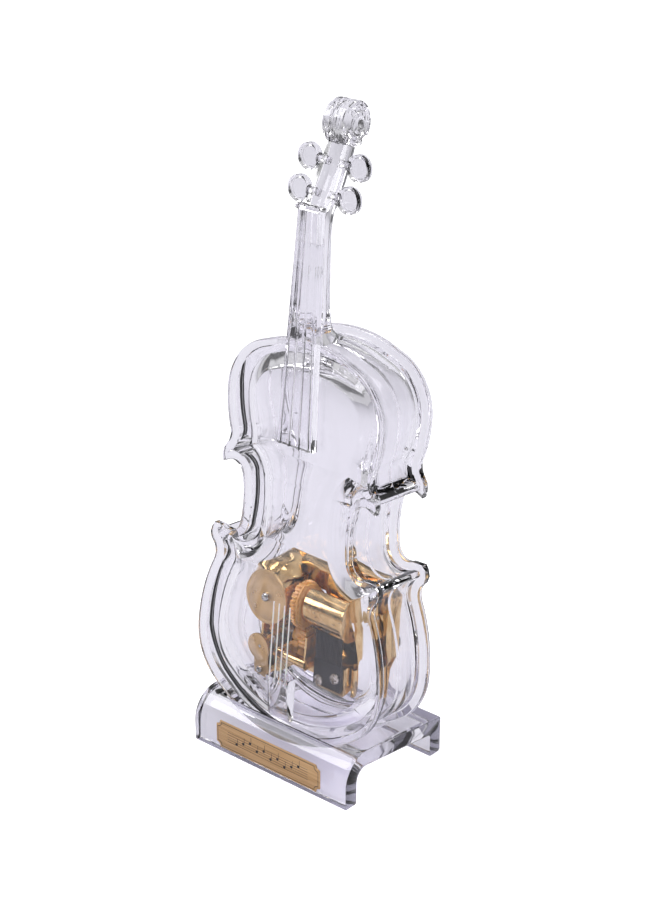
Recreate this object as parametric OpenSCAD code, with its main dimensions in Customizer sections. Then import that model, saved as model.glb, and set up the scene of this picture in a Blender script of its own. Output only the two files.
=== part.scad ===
// Violin-shaped clockwork music box: a clear case on a bent clear stand, with an
// 18-note spring-driven movement inside and its winding key at the back.
// Millimetres. +Z up, +Y to the back, origin on the table under the middle of the stand.

/* [Stand] */
// Width of the stand
stand_w = 66; // [60:1:72]
// Depth of the stand, front leg to back leg
stand_d = 48.4; // [46:0.2:54]
// Thickness of the bent sheet
sheet_t = 5.6; // [4:0.1:6]
// Outside radius of the front bend
bend_r = 10; // [8:0.5:12]
// Height of the top plate at the front bend
stand_front_h = 17.6; // [16:0.1:20]
// Height of the top plate at the back edge
stand_back_h = 13.3; // [12:0.1:15]
// Width of the name plate
plaque_w = 45; // [30:1:54]
// Height of the name plate
plaque_h = 10; // [8:0.5:12]

/* [Violin case] */
// How far the violin leans back, in degrees
lean = 5.4; // [0:0.1:8]
// Height of the bottom of the body above the table
foot_z = 11; // [10:0.1:14]
// Distance of the body's front face behind the middle of the stand
foot_y = -18.4; // [-20:0.1:-17]
// Depth of the body, front plate to back plate
body_d = 26; // [25:0.5:30]
// Thickness of the plate edges
plate_t = 2.6; // [2:0.1:3]
// Width of the flat rim round each plate
rim_w = 2.8; // [2:0.1:3.5]
// How far the ribs stand in from the plate edges
rib_inset = 2.6; // [2:0.1:3]
// Wall thickness of the case
wall_t = 2; // [1.5:0.1:2]
// Distance of the flat panel from the plate edge
panel_inset = 8.8; // [8:0.1:9]
// How far the flat panel lies below the rim
panel_drop = 0.8; // [0.4:0.1:1.2]

/* [Neck and strings] */
// Height of the fingerboard's lower end above the bottom of the body
board_v0 = 101.3; // [98:0.1:110]
// Height of the nut above the bottom of the body
nut_v = 176; // [170:0.5:180]
// Width of the fingerboard at its lower end
board_w0 = 14.6; // [12:0.1:16]
// Width of the fingerboard at the nut
board_w1 = 8.8; // [8:0.1:10]
// Radius of the scroll
scroll_r = 7; // [6:0.1:7.5]
// Radius of a peg head
peg_r = 4.2; // [3:0.1:4.4]
// Space between strings at the tailpiece
string_pitch = 2.27; // [2:0.01:2.4]

/* [Movement] */
// Radius of the music cylinder
cyl_r = 6.4; // [6:0.1:6.5]
// Number of comb teeth
notes = 18; // [12:1:18]
// Teeth of the great wheel
great_n = 30; // [30:1:30]
// Face teeth of the cylinder gear, in mesh with the great wheel
crown_n = 18; // [18:1:18]
// Outer teeth of the cylinder gear
gear_n = 42; // [42:1:42]
// Teeth of the governor pinion
pinion_n = 17; // [17:1:17]
// Teeth of the worm wheel
worm_n = 14; // [14:1:14]

/* [Hidden] */
$fn = 48;
eps = 0.01;

// ---------- the violin's outline ----------
// One side of the outline, from the middle of the bottom to the middle of the top, as arcs
// of [centre, radius, first angle, last angle, steps] with the corner tips between them.
lower_arcs = [
  [[0, 49], 49, 270, 309, 7],
  [[17, 28], 22, 309, 360, 10],
  [[-20, 28], 59, 2, 25, 7],
  [[38.5, 55.3], 5.5, 205, 130, 6]];
lower_corner = [[35.6, 61.7], [33.9, 65.5]];
waist_arcs = [
  [[27.4, 69.3], 4.5, 300, 190.5, 8],
  [[67.2, 76.7], 45, 188, 172, 5],
  [[27.4, 84.1], 4.5, 169.5, 60, 8]];
upper_corner = [[31.5, 87.3], [31.7, 91.9]];
upper_arcs = [
  [[35.1, 97.6], 6, 220, 163, 6],
  [[-13.6, 112.5], 45, -17, 0, 5],
  [[11.4, 112.5], 20, 4, 63, 9],
  [[0, 88], 47, 76, 87, 4]];
function arc2(c, r, a, b, n) =
  [for (i = [0:n]) c + r * [cos(a + (b - a) * i / n), sin(a + (b - a) * i / n)]];
function arcs(list) = [for (a = list) for (p = arc2(a[0], a[1], a[2], a[3], a[4])) p];
right_side = [for (p = concat(arcs(lower_arcs), lower_corner, arcs(waist_arcs), upper_corner,
  arcs(upper_arcs))) if (p.x > 0.05) p];
body_h = 135;
outline = concat([[0, 0]], right_side, [[0, body_h]],
  [for (i = [len(right_side) - 1:-1:0]) [-right_side[i].x, right_side[i].y]]);
// The outline in X and Z, drawn in by the inset
module body_shape(inset) offset(delta = -inset) polygon(outline);

// Everything on the violin is drawn with the body's bottom at the origin, X across, Y from
// the front plate towards the back, and Z along the neck; this leans it into the stand.
module leaned() translate([0, foot_y, foot_z]) rotate([-lean, 0, 0]) children();
// A round bar along +Y, from depth y0 to y1, at [x, z]
module bar_y(x, z, r, y0, y1) translate([x, y0, z]) rotate([-90, 0, 0]) cylinder(r = r, h = y1 - y0);
// A round bar along +X, from x0 to x1, at [y, z]
module bar_x(y, z, r, x0, x1) translate([x0, y, z]) rotate([0, 90, 0]) cylinder(r = r, h = x1 - x0);
// A block between two corners
module block(low, high) translate(low) cube(high - low);
// A flat plate whose outline is given in X and Z, from depth y0 to y1
module plate_y(y0, y1) translate([0, y1, 0]) rotate([90, 0, 0]) linear_extrude(y1 - y0) children();
// A flat plate whose outline is given in Y and Z, from x0 to x1
module plate_x(x0, x1) translate([x0, 0, 0]) rotate([90, 0, 90]) linear_extrude(x1 - x0) children();

// ---------- places on the movement, in the violin's own directions ----------
drum = [-14, 44.4];       // X and Z of the spring drum's axis
drum_r = 8.9;
drum_wall = 1;
cover_y = 5;              // front face of the cover disc
cover_r = 9.3;
cover_t = 0.8;
bed_y0 = 21.3;            // front face of the bedplate's floor
bed_y1 = 22.6;
cyl_axis = [13.3, 44.4];  // Y and Z of the cylinder's axis
cyl_x0 = 0.2;
cyl_x1 = 17.7;
pin_h = 0.4;
arbor_r = 1.5;
run_fit = 0.05;           // radial clearance of a shaft in its bearing
great_y0 = 19.4;
great_y1 = 20.6;
tooth_pitch = 2 * PI * 6.5 / crown_n;
great_r = tooth_pitch * great_n / (2 * PI);
great_tip = great_r + 0.45;
great_root = great_r - 0.8;
crown_r0 = 5.4;
crown_r1 = 8.2;
crown_x = drum.x + great_tip + 0.2;      // plane the face teeth stand on
crown_h = 1;
gear_r = 9;                              // pitch radius of the cylinder gear's outer teeth
pinion_r = gear_r * pinion_n / gear_n;
gov_axis = [cyl_axis.x, cyl_axis.y - gear_r - pinion_r];
worm_wheel_r = 3.5;
worm_r = 2.2;
worm_at = [-15.5, gov_axis.y - worm_wheel_r - worm_r];
worm_lead = 2 * PI * worm_wheel_r / worm_n;
pivot_r = 0.5;
comb_x0 = 5.4;
comb_x1 = 17.4;
comb_y = 10;
comb_top = 37.9;
comb_pitch = (comb_x1 - comb_x0) / notes;
comb_screw_at = [[7.9, 20.5], [14.9, 23.2]];
bed_screw_at = [[24.8, 36], [-22.4, 33], [10, 54.4]];
panel_out = body_d - panel_drop;         // outer face of the back panel
panel_in = panel_out - wall_t;           // inner face of the back panel
key_y0 = 27.2;
key_y1 = 38.2;

// ---------- stand ----------
slope = atan((stand_front_h - stand_back_h) / (stand_d / 2 + 12));
bend_y = -stand_d / 2 + bend_r;
bend_z = stand_front_h - (bend_y + 12) * tan(slope) - bend_r / cos(slope);
function top_z(y) = stand_front_h - (y + 12) * tan(slope);
module stand_profile() {
  under = sheet_t / cos(slope);
  back = stand_d / 2;
  polygon(concat(
    [[-back, 0]],
    arc2([bend_y, bend_z], bend_r, 180, 90 - slope, 12),
    [[back, top_z(back)], [back, 0], [back - sheet_t, 0],
     [back - sheet_t, top_z(back - sheet_t) - under]],
    arc2([bend_y, bend_z], bend_r - sheet_t, 90 - slope, 180, 8),
    [[sheet_t - back, 0]]));
}
module stand() color("LightSteelBlue", 0.6) difference() {
  plate_x(-stand_w / 2, stand_w / 2) stand_profile();
  leaned() plate_y(-0.2, body_d + 0.2) body_shape(-0.15);
}

plaque_t = 0.5;
plaque_z = bend_z - 0.4;
notch_r = 1.6;
module plaque() color("DarkGoldenrod") translate([0, -stand_d / 2, plaque_z])
  plate_y(-plaque_t, 0) difference() {
    square([plaque_w, plaque_h], center = true);
    for (sx = [-1, 1], sz = [-1, 1])
      translate([sx * plaque_w / 2, sz * plaque_h / 2]) circle(r = notch_r);
  }

// ---------- violin case ----------
seam_y = body_d / 2;
panel_step = (rim_w + panel_inset) / 2;  // inset of the panel's edge, half way down its slope
boss_r = 2.4;
key_hole_r = 4;
inner_y = panel_drop + wall_t;           // inner face of the front panel
// A plate of the case, with its sunk panel, drawn as the front one
module case_plate() difference() {
  union() {
    plate_y(0, plate_t) body_shape(0);
    plate_y(plate_t - eps, inner_y) body_shape(rib_inset);
  }
  plate_y(-1, panel_drop) body_shape(panel_step);
}
module case_rib() plate_y(inner_y, seam_y) difference() {
  body_shape(rib_inset);
  body_shape(rib_inset + wall_t);
}
module to_back() translate([0, body_d, 0]) mirror([0, 1, 0]) children();
module front_plate() color("Lavender", 0.5) leaned() case_plate();
module front_rib() color("Lavender", 0.5) leaned() case_rib();
module back_rib() color("Lavender", 0.5) leaned() to_back() case_rib();
module back_plate() color("Lavender", 0.5) leaned() difference() {
  union() {
    to_back() case_plate();
    for (p = bed_screw_at) bar_y(p.x, p.y, boss_r, bed_y1, panel_in + 0.5);
  }
  for (p = bed_screw_at) bar_y(p.x, p.y, 1.2, bed_y1 - 1, body_d + 1);
  bar_y(drum.x, drum.y, key_hole_r, panel_in - 1, body_d + 1);
}

// ---------- neck ----------
// Rings of a bar with a flat front and a half-round back: [z, front y, half width, depth]
neck_rings = [[135.15, -0.15, 6.8, 15], [137, -0.15, 6.3, 11], [140, -0.15, 6, 8.2],
  [146, -0.15, 5.8, 6.8], [160, -0.15, 5.1, 6], [170, -0.15, 4.7, 5.8], [174, 0.1, 4.6, 6.2],
  [178, 1.6, 4.9, 6.6], [184, 4.2, 4.9, 6.6], [190, 7, 4.6, 6.2], [196, 9.4, 4.2, 5.6]];
ring_n = 16;
function flat(lists) = [for (l = lists) for (p = l) p];
function bar_ring(r) = concat(
  [[-r[2], r[1], r[0]], [r[2], r[1], r[0]]],
  [for (i = [0:ring_n - 2]) let(a = 180 * i / (ring_n - 2))
    [r[2] * cos(a), r[1] + r[3] * (0.35 + 0.65 * sin(a)), r[0]]]);
module ring_loft(rings) {
  n = len(bar_ring(rings[0]));
  m = len(rings);
  points = flat([for (r = rings) bar_ring(r)]);
  sides = [for (j = [0:m - 2]) for (i = [0:n - 1]) let(k = (i + 1) % n)
    [j * n + i, (j + 1) * n + i, (j + 1) * n + k, j * n + k]];
  polyhedron(points, concat([[for (i = [0:n - 1]) i]], sides,
    [[for (i = [n - 1:-1:0]) (m - 1) * n + i]]), convexity = 6);
}
scroll_at = [12.3, 201.1];
pegs_left = [[4.1, 180.1], [7.8, 189.4]];
pegs_right = [[4, 180], [7.6, 189.2]];
peg_hole_r = 1.35;
pegbox_slot = 4.4;
module neck() color("Lavender", 0.6) leaned() difference() {
  union() {
    ring_loft(neck_rings);
    bar_x(scroll_at.x, scroll_at.y, scroll_r, -3.6, 3.6);
    bar_x(scroll_at.x, scroll_at.y + 0.4, 4.6, -5.2, 5.2);
    bar_x(scroll_at.x, scroll_at.y - 0.2, 2.6, -7, 7);
  }
  translate([-pegbox_slot / 2, 0.2, 175.6]) rotate([-25.5, 0, 0]) cube([pegbox_slot, 3.4, 17]);
  for (p = concat(pegs_left, pegs_right)) bar_x(p.x + 0.6, p.y, peg_hole_r, -8, 8);
}

// ---------- fingerboard, nut and pegs ----------
board_y0 = -3.2;
board_y1 = -0.15;
ridge_r = 0.55;
module fingerboard() color("Lavender", 0.6) leaned() {
  plate_y(board_y0 + 0.6, board_y1) polygon([
    [-board_w0 / 2, board_v0], [board_w0 / 2, board_v0],
    [board_w1 / 2, nut_v - 0.1], [-board_w1 / 2, nut_v - 0.1]]);
  for (i = [-1.5:1:1.5]) {
    spread = atan(i * (board_w1 - board_w0) * 0.26 / (nut_v - board_v0));
    translate([i * board_w0 * 0.26, board_y0 + 0.55, board_v0 + 0.2]) rotate([0, spread, 0])
      cylinder(r = ridge_r, h = nut_v - board_v0 - 1);
  }
}
module nut() color("Lavender", 0.6) leaned()
  block([-board_w1 / 2 - 0.3, board_y0 - 0.3, nut_v], [board_w1 / 2 + 0.3, board_y1, nut_v + 1.6]);

peg_t = 2.6;
// One peg, with its hole's [y, z] and the distance of its head from the middle
module peg(at, side, peg_x) color("Lavender", 0.6) leaned() {
  y = at.x + 0.6;
  bar_y(side * peg_x, at.y, peg_r, y - peg_t / 2, y + peg_t / 2);
  x_in = side > 0 ? 2.6 : -peg_x + peg_r - 0.6;
  x_out = side > 0 ? peg_x - peg_r + 0.6 : -2.6;
  bar_x(y, at.y, peg_hole_r - 0.03, x_in, x_out);
}
module peg_low_left() peg(pegs_left[0], -1, 10.1);
module peg_high_left() peg(pegs_left[1], -1, 10.1);
module peg_low_right() peg(pegs_right[0], 1, 9.4);
module peg_high_right() peg(pegs_right[1], 1, 9.4);

// ---------- tailpiece and strings ----------
tail_v0 = 7.4;
tail_v1 = 22.8;
tail_w = 8.9;
string_r = 0.22;
string_y = -3.2;
string_top = 48.5;
module tailpiece() color("Lavender", 0.6) leaned() difference() {
  plate_x(-tail_w / 2, tail_w / 2) polygon([
    [panel_drop - 0.05, tail_v0], [-0.9, tail_v0], [-1.6, tail_v0 + 1], [-4.2, tail_v1],
    [panel_drop - 0.05, tail_v1]]);
  for (i = [-1.5:1:1.5]) translate([i * string_pitch, string_y, tail_v1 - 2])
    cylinder(r = string_r, h = 3);
}
module strings() color("White") leaned() for (i = [-1.5:1:1.5])
  translate([i * string_pitch, string_y, tail_v1 - 2]) cylinder(r = string_r, h = string_top - tail_v1 + 2, $fn = 24);

// ---------- bedplate ----------
bed_top = 57.8;
bed_outline = [[-25.4, 30], [-25.4, 50], [-17, bed_top], [24, bed_top], [27.5, 54], [27.5, 33],
  [21.6, 25.4], [18.6, 14.6], [-21, 14.6], [-22.6, 25]];
bed_wall = 1.2;
bed_front = 17;
module bedplate() color("Goldenrod") leaned() difference() {
  union() {
    plate_y(bed_y0, bed_y1) polygon(bed_outline);
    block([-8, bed_front, bed_top - bed_wall], [24, bed_y0 + eps, bed_top]);
    plate_y(bed_front, bed_y0 + eps) polygon([[24, bed_top], [27.5, 54], [27.5, 33], [26.3, 33.4],
      [26.3, 53.6], [23.3, bed_top - bed_wall]]);
    plate_y(bed_front, bed_front + 1) polygon([[26.8, 53.6], [26.8, 32.6], [22, 26.4], [21.4, 28],
      [22.8, 34], [22.8, 50]]);
    block([18.4, bed_front, 14.6], [19.6, bed_y0 + eps, 25.4]);
  }
  block([-4.2, bed_y0 - 1, 38.9], [0.6, bed_y1 + 1, 49.9]);
  block([19.3, bed_y0 - 1, 40.5], [22.3, bed_y1 + 1, 43.5]);
  bar_y(drum.x, drum.y, arbor_r + run_fit, bed_y0 - 1, bed_y1 + 1);
  bar_y(worm_at.x, worm_at.y, pivot_r + run_fit, bed_y0 - 1, bed_y0 + 0.7);
  for (p = bed_screw_at) bar_y(p.x, p.y, 1.04, bed_y0 - 1, bed_y1 + 1);
}

// ---------- spring motor ----------
skirt_r = 13.2;
skirt_y = 17.6;
hood_y = [6.4, 9.5];                     // where the hood starts to flare, and where it has flared
hood_r = 12.4;
boss_x0 = drum.x + drum_r - drum_wall;
module skirt_sector(y0, y1) plate_y(y0, y1) intersection() {
  translate(drum) circle(r = skirt_r);
  polygon([drum, drum + [14, 15.4], drum + [-2, 22], drum + [-24, 12], drum + [-20, -12]]);
}
// A cone along +Y about the drum's axis, radius r0 at depth y0 and r1 at y1
module cone_y(r0, r1, y0, y1)
  translate([drum.x, y0, drum.y]) rotate([-90, 0, 0]) cylinder(r1 = r0, r2 = r1, h = y1 - y0);
// The flared hood over the drum, drawn in by the inset
module hood(inset) intersection() {
  union() {
    cone_y(drum_r - inset, hood_r - inset, hood_y[0] + inset, hood_y[1] + inset);
    cone_y(hood_r - inset, skirt_r - inset, hood_y[1] + inset - eps, skirt_y + inset);
  }
  skirt_sector(0, bed_y0);
}
module spring_housing() color("Gold") leaned() difference() {
  union() {
    difference() {
      hood(0);
      hood(drum_wall);
    }
    bar_y(drum.x, drum.y, drum_r, cover_y + cover_t, great_y0 - 0.6);
    skirt_sector(skirt_y, bed_y0);
    bar_x(cyl_axis.x, cyl_axis.y, 2, boss_x0 + 0.2, drum.x + drum_r + 0.9);
  }
  bar_y(drum.x, drum.y, drum_r - drum_wall, cover_y + cover_t + 0.6, bed_y1);
  bar_y(drum.x, drum.y, arbor_r + run_fit, 0, bed_y1);
  bar_y(drum.x, drum.y, skirt_r - drum_wall, great_y0 - 0.7, bed_y1);
  bar_x(cyl_axis.x, cyl_axis.y, 0.85, boss_x0 + 0.6, 0);
}
module spring_cover() color("BurlyWood") leaned() difference() {
  bar_y(drum.x, drum.y, cover_r, cover_y, cover_y + cover_t);
  bar_y(drum.x, drum.y, arbor_r + run_fit, cover_y - 1, cover_y + 2);
}

spring_r0 = 2.3;
spring_r1 = 7.7;
spring_turns = 7;
spring_t = 0.32;
function spiral(grow) = [for (i = [0:24 * spring_turns]) let(a = i * 15,
    r = spring_r0 + (spring_r1 - spring_r0) * i / (24 * spring_turns) + grow)
  drum + r * [cos(a), sin(a)]];
module mainspring() color("SlateGray") leaned() plate_y(7, 17) {
  inner = spiral(0);
  outer = spiral(spring_t * 0.6);
  polygon(concat(inner, [for (i = [len(outer) - 1:-1:0]) outer[i]]));
}

// A ring of straight-sided teeth in the X-Y plane, on a disc of the root radius
module toothed(n, root, tip, w_root, w_tip, phase) {
  circle(r = root);
  for (i = [0:n - 1]) rotate(phase + i * 360 / n) polygon([
    [root - 0.3, -w_root / 2], [tip, -w_tip / 2], [tip, w_tip / 2], [root - 0.3, w_root / 2]]);
}
tooth_w = 0.8;
module great_wheel() color("Peru") leaned() difference() {
  union() {
    plate_y(great_y0, great_y1) translate(drum)
      toothed(great_n, great_root, great_tip, tooth_w, tooth_w * 0.7, 0);
    bar_y(drum.x, drum.y, 3, great_y0 - eps, bed_y0 - 0.2);
  }
  bar_y(drum.x, drum.y, arbor_r + run_fit, great_y0 - 1, bed_y1);
  for (a = [60:120:300]) translate([drum.x + 7 * cos(a), 0, drum.y + 7 * sin(a)])
    bar_y(0, 0, 1.5, great_y0 - 1, great_y1 + 1);
}

ratchet_n = 12;
ratchet_r = 3.9;
ratchet_y0 = 17.9;
ratchet_y1 = 19;
module ratchet_wheel() color("Silver") leaned() plate_y(ratchet_y0, ratchet_y1)
  translate(drum) difference() {
    union() {
      circle(r = ratchet_r - 0.7);
      for (i = [0:ratchet_n - 1]) rotate(i * 360 / ratchet_n)
        polygon([[ratchet_r - 1.2, -1], [ratchet_r, 0], [ratchet_r - 1.2, 0.4]]);
    }
    circle(r = arbor_r - 0.001);
  }
click_at = [6.2, 65];
module click() color("Silver") leaned() {
  plate_y(ratchet_y0, ratchet_y1) translate(drum) rotate(click_at[1]) {
    translate([click_at[0], 0]) circle(r = 0.9);
    polygon([[click_at[0] - 0.9, -0.3], [click_at[0] + 0.9, 0.2], [4.6, -3.4], [4.3, -3]]);
  }
  bar_y(drum.x + click_at[0] * cos(click_at[1]), drum.y + click_at[0] * sin(click_at[1]), 0.5,
    ratchet_y1 - eps, great_y0 + 0.001);
}

dome_r = 1.62;
module winding_arbor() color("Silver") leaned() {
  bar_y(drum.x, drum.y, arbor_r, cover_y - 0.25, key_y0 + 3);
  intersection() {
    translate([drum.x, cover_y - 0.25 + dome_r * 0.62, drum.y]) sphere(r = dome_r);
    bar_y(drum.x, drum.y, dome_r, cover_y - 2, cover_y - 0.2);
  }
}
key_wing = 7.6;
key_t = 2;
module winding_key() color("Gold") leaned() difference() {
  union() {
    bar_y(drum.x, drum.y, 2.9, key_y0, key_y0 + 4.2);
    translate([drum.x, 0, drum.y]) rotate([0, 90, 0]) translate([0, 0, -key_t / 2])
      linear_extrude(key_t) key_shape();
  }
  bar_y(drum.x, drum.y, arbor_r + 0.001, key_y0 - 1, key_y0 + 3.001);
}
// The wings' outline: first axis along -Z, second along Y
module key_shape() {
  centre_y = key_y1 - 4.2;
  translate([-1.6, key_y0 + 3.4]) square([3.2, 3]);
  for (s = [-1, 1]) difference() {
    translate([s * (key_wing - 4.1), centre_y]) circle(r = 4.1);
    translate([s * (key_wing - 4.1), centre_y]) circle(r = 1.7);
  }
}

// ---------- cylinder train ----------
// Pins stand on one of thirty lines round the cylinder; the tune is a simple broken chord.
pin_lines = 30;
pins_per_track = 4;
pin_r = 0.17;
function pin_angle(track, k) = (track * 7 + k * (track % 3 + 6)) % pin_lines * 360 / pin_lines;
module music_cylinder() color("Khaki") leaned() difference() {
  union() {
    bar_x(cyl_axis.x, cyl_axis.y, cyl_r, cyl_x0, cyl_x1);
    for (t = [0:notes - 1], k = [0:pins_per_track - 1])
      translate([comb_x0 + (t + 0.5) * comb_pitch, cyl_axis.x, cyl_axis.y])
        rotate([pin_angle(t, k), 0, 0]) translate([0, 0, cyl_r - 0.3])
          cylinder(r = pin_r, h = pin_h + 0.3, $fn = 16);
  }
  bar_x(cyl_axis.x, cyl_axis.y, cyl_r - 0.7, cyl_x0 - 1, cyl_x1 - 1);
  bar_x(cyl_axis.x, cyl_axis.y, 0.8, cyl_x0 - 1, cyl_x1 + 1);
}
flange_x = -0.8;
module cylinder_gear() color("Peru") leaned() {
  difference() {
    union() {
      plate_x(crown_x, flange_x) translate(cyl_axis)
        toothed(gear_n, gear_r - 0.42, gear_r + 0.3, 0.62, 0.3, -90 - 180 / gear_n);
      bar_x(cyl_axis.x, cyl_axis.y, gear_r - 0.5, flange_x - eps, cyl_x0 - 0.3);
      bar_x(cyl_axis.x, cyl_axis.y, gear_r - 1.3, crown_x, cyl_x0);
    }
    bar_x(cyl_axis.x, cyl_axis.y, 0.8, crown_x - 1, cyl_x0 + 1);
    bar_x(cyl_axis.x, cyl_axis.y, crown_r0 - 0.6, crown_x - 1, crown_x + 0.8);
  }
  for (i = [0:crown_n - 1])
    translate([crown_x - crown_h, cyl_axis.x, cyl_axis.y]) rotate([(i + 0.5) * 360 / crown_n, 0, 0])
      translate([0, crown_r0, -tooth_w / 2]) cube([crown_h + 0.2, crown_r1 - crown_r0, tooth_w]);
}
module cylinder_shaft() color("Silver") leaned()
  bar_x(cyl_axis.x, cyl_axis.y, 0.8, boss_x0 + 0.7, bracket_x[1] + 1);

bracket_x = [18.1, 19.1];
bracket_r = 7.6;
module cylinder_bracket() color("Gold") leaned() difference() {
  union() {
    plate_x(bracket_x[0], bracket_x[1]) {
      translate(cyl_axis) circle(r = bracket_r);
      translate([cyl_axis.x, cyl_axis.y - bracket_r]) square([bed_y0 - cyl_axis.x - 0.02, 2 * bracket_r]);
    }
    bar_x(cyl_axis.x, cyl_axis.y, 1.8, bracket_x[0], bracket_x[1] + 0.6);
    block([bracket_x[0], bed_y0 - 1.02, cyl_axis.y - 11], [22, bed_y0 - 0.02, cyl_axis.y - bracket_r + 1]);
  }
  bar_x(cyl_axis.x, cyl_axis.y, 0.8 + run_fit, 10, 20);
}

// ---------- comb ----------
tooth_gap = 0.16;
comb_v0 = 18.4;
comb_root = 27;
module comb() color("DimGray") leaned() difference() {
  union() {
    block([comb_x0, comb_y, comb_v0], [comb_x1, comb_y + 2, comb_root]);
    block([comb_x0, comb_y, comb_root - 1], [comb_x1, comb_y + 0.9, comb_top]);
  }
  for (i = [1:notes - 1])
    block([comb_x0 + i * comb_pitch - tooth_gap / 2, comb_y - 1, comb_root + 0.8],
      [comb_x0 + i * comb_pitch + tooth_gap / 2, comb_y + 3, comb_top + 1]);
  for (p = comb_screw_at) bar_y(p.x, p.y, 1.1, comb_y - 1, comb_y + 3);
}
module comb_base() color("Goldenrod") leaned() difference() {
  block([comb_x0 + 0.1, comb_y + 2, 16.4], [comb_x1 + 0.4, bed_y0, 26.4]);
  for (p = comb_screw_at) bar_y(p.x, p.y, 1.04, comb_y, comb_y + 6);
}
// A cross-slotted round-head screw pointing along +Y, its head's seat at [x, y, z]
module screw(x, y, z, head_r, head_h, r, length) difference() {
  union() {
    bar_y(x, z, head_r, y - head_h, y);
    bar_y(x, z, r, y - eps, y + length);
  }
  for (a = [0, 90]) translate([x, y - head_h - eps, z]) rotate([0, a, 0])
    block([-head_r * 0.6, 0, -0.25], [head_r * 0.6, head_h * 0.6, 0.25]);
}
module comb_screws() color("Silver") leaned()
  for (p = comb_screw_at) screw(p.x, comb_y - 0.01, p.y, 1.95, 1.1, 1, 5.6);

// ---------- governor ----------
cap_y = 5;
cap_t = 0.8;
frame_left = [-19.4, -18.4];
frame_right = [1, 1.9];
fly_y = [6.2, 8.2];
web_v = [15.3, 16.4];
gov_screw_at = [-15, 17.6];
module governor_cap() color("BurlyWood") leaned() difference() {
  plate_y(cap_y, cap_y + cap_t) {
    translate([-16.2, 25.6]) circle(r = 4.8);
    translate([-18, web_v[0]]) square([6, 8]);
  }
  bar_y(worm_at.x, worm_at.y, pivot_r + run_fit, cap_y - 1, cap_y + 2);
  bar_y(gov_screw_at.x, gov_screw_at.y, 0.75, cap_y - 1, cap_y + 2);
}
module governor_frame() color("Gold") leaned() difference() {
  union() {
    block([-18, cap_y + cap_t, web_v[0]], [-12, 21.3, web_v[0] + 3.6]);
    block([frame_left[0], 9, web_v[0]], [frame_left[1], bed_y0, 33.4]);
    block([frame_left[0], 9, web_v[0]], [-12, bed_y0, web_v[0] + 3.6]);
    block([frame_right[0], 9.4, 21.5], [frame_right[1], bed_y0, 33.4]);
    bar_x(10.4, 23.6, 2, -12.6, frame_right[1]);
    block([-12.6, 10.4, 21.6], [-11.6, bed_y0, 25.6]);
    block([-12.6, 9, web_v[0]], [-11.6, bed_y0, 23]);
  }
  bar_x(gov_axis.x, gov_axis.y, 0.7 + run_fit, -30, 10);
  bar_y(gov_screw_at.x, gov_screw_at.y, 0.62, 0, 12);
}
module governor_screws() color("Silver") leaned()
  screw(gov_screw_at.x, cap_y - 0.01, gov_screw_at.y, 1.2, 0.6, 0.6, 5.5);

module governor_shaft() color("Silver") leaned()
  bar_x(gov_axis.x, gov_axis.y, 0.7, -19.3, 1.8);
module governor_pinion() color("Sienna") leaned() difference() {
  union() {
    plate_x(crown_x + 0.1, 0.5) translate(gov_axis)
      toothed(pinion_n, pinion_r - 0.42, pinion_r + 0.28, 0.62, 0.3, 90);
    bar_x(gov_axis.x, gov_axis.y, 2.6, -6, crown_x + 0.2);
  }
  bar_x(gov_axis.x, gov_axis.y, 0.7, -10, 5);
}
module worm_wheel() color("Orange") leaned() difference() {
  union() {
    plate_x(worm_at.x - 0.9, worm_at.x + 0.9) translate(gov_axis)
      toothed(worm_n, worm_wheel_r - 0.45, worm_wheel_r + 0.2, 0.7, 0.4, -90);
    bar_x(gov_axis.x, gov_axis.y, 1.6, worm_at.x - 1.6, worm_at.x + 1.6);
  }
  bar_x(gov_axis.x, gov_axis.y, 0.7, -30, 0);
}

// The worm's thread: a ridge swept along a right-handed helix about +Y
thread_len = 3 * worm_lead;
thread_sides = 20;
core_r = 1.8;
thread_tip = 2.4;
thread_w = 0.4;
function thread_ring(i) = let(
    a = 360 * i / thread_sides, y = gov_axis.x - thread_len / 2 + worm_lead * i / thread_sides)
  [for (q = [[core_r - 0.2, -thread_w * 0.6], [thread_tip, -thread_w * 0.3],
             [thread_tip, thread_w * 0.3], [core_r - 0.2, thread_w * 0.6]])
    [worm_at.x + q[0] * sin(a), y + q[1], worm_at.y + q[0] * cos(a)]];
module thread() {
  m = floor(thread_len / worm_lead * thread_sides);
  points = flat([for (i = [0:m]) thread_ring(i)]);
  sides = [for (j = [0:m - 1]) for (i = [0:3]) let(k = (i + 1) % 4)
    [j * 4 + i, j * 4 + k, (j + 1) * 4 + k, (j + 1) * 4 + i]];
  polyhedron(points, concat([[3, 2, 1, 0]], sides, [[m * 4, m * 4 + 1, m * 4 + 2, m * 4 + 3]]),
    convexity = 8);
}
module worm() color("Silver") leaned() {
  bar_y(worm_at.x, worm_at.y, core_r, fly_y[1] + 0.2, 19);
  bar_y(worm_at.x, worm_at.y, pivot_r, cap_y + 0.05, bed_y0 + 0.6);
  thread();
}
fly_r = 5.4;
module fly() color("Chocolate") leaned() difference() {
  union() {
    bar_y(worm_at.x, worm_at.y, 1.3, fly_y[0], fly_y[1]);
    translate([worm_at.x, 0, worm_at.y]) rotate([0, 32, 0])
      block([-0.35, fly_y[0] + 0.1, -fly_r], [0.35, fly_y[1] - 0.1, fly_r]);
  }
  bar_y(worm_at.x, worm_at.y, pivot_r, 0, 12);
}

// The screws that hold the movement come in from the back, pointing along -Y
module movement_screws() color("Silver") leaned() for (p = bed_screw_at)
  mirror([0, 1, 0]) screw(p.x, -panel_out - 0.01, p.y, 2.1, 1.2, 1, 3.6);

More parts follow.
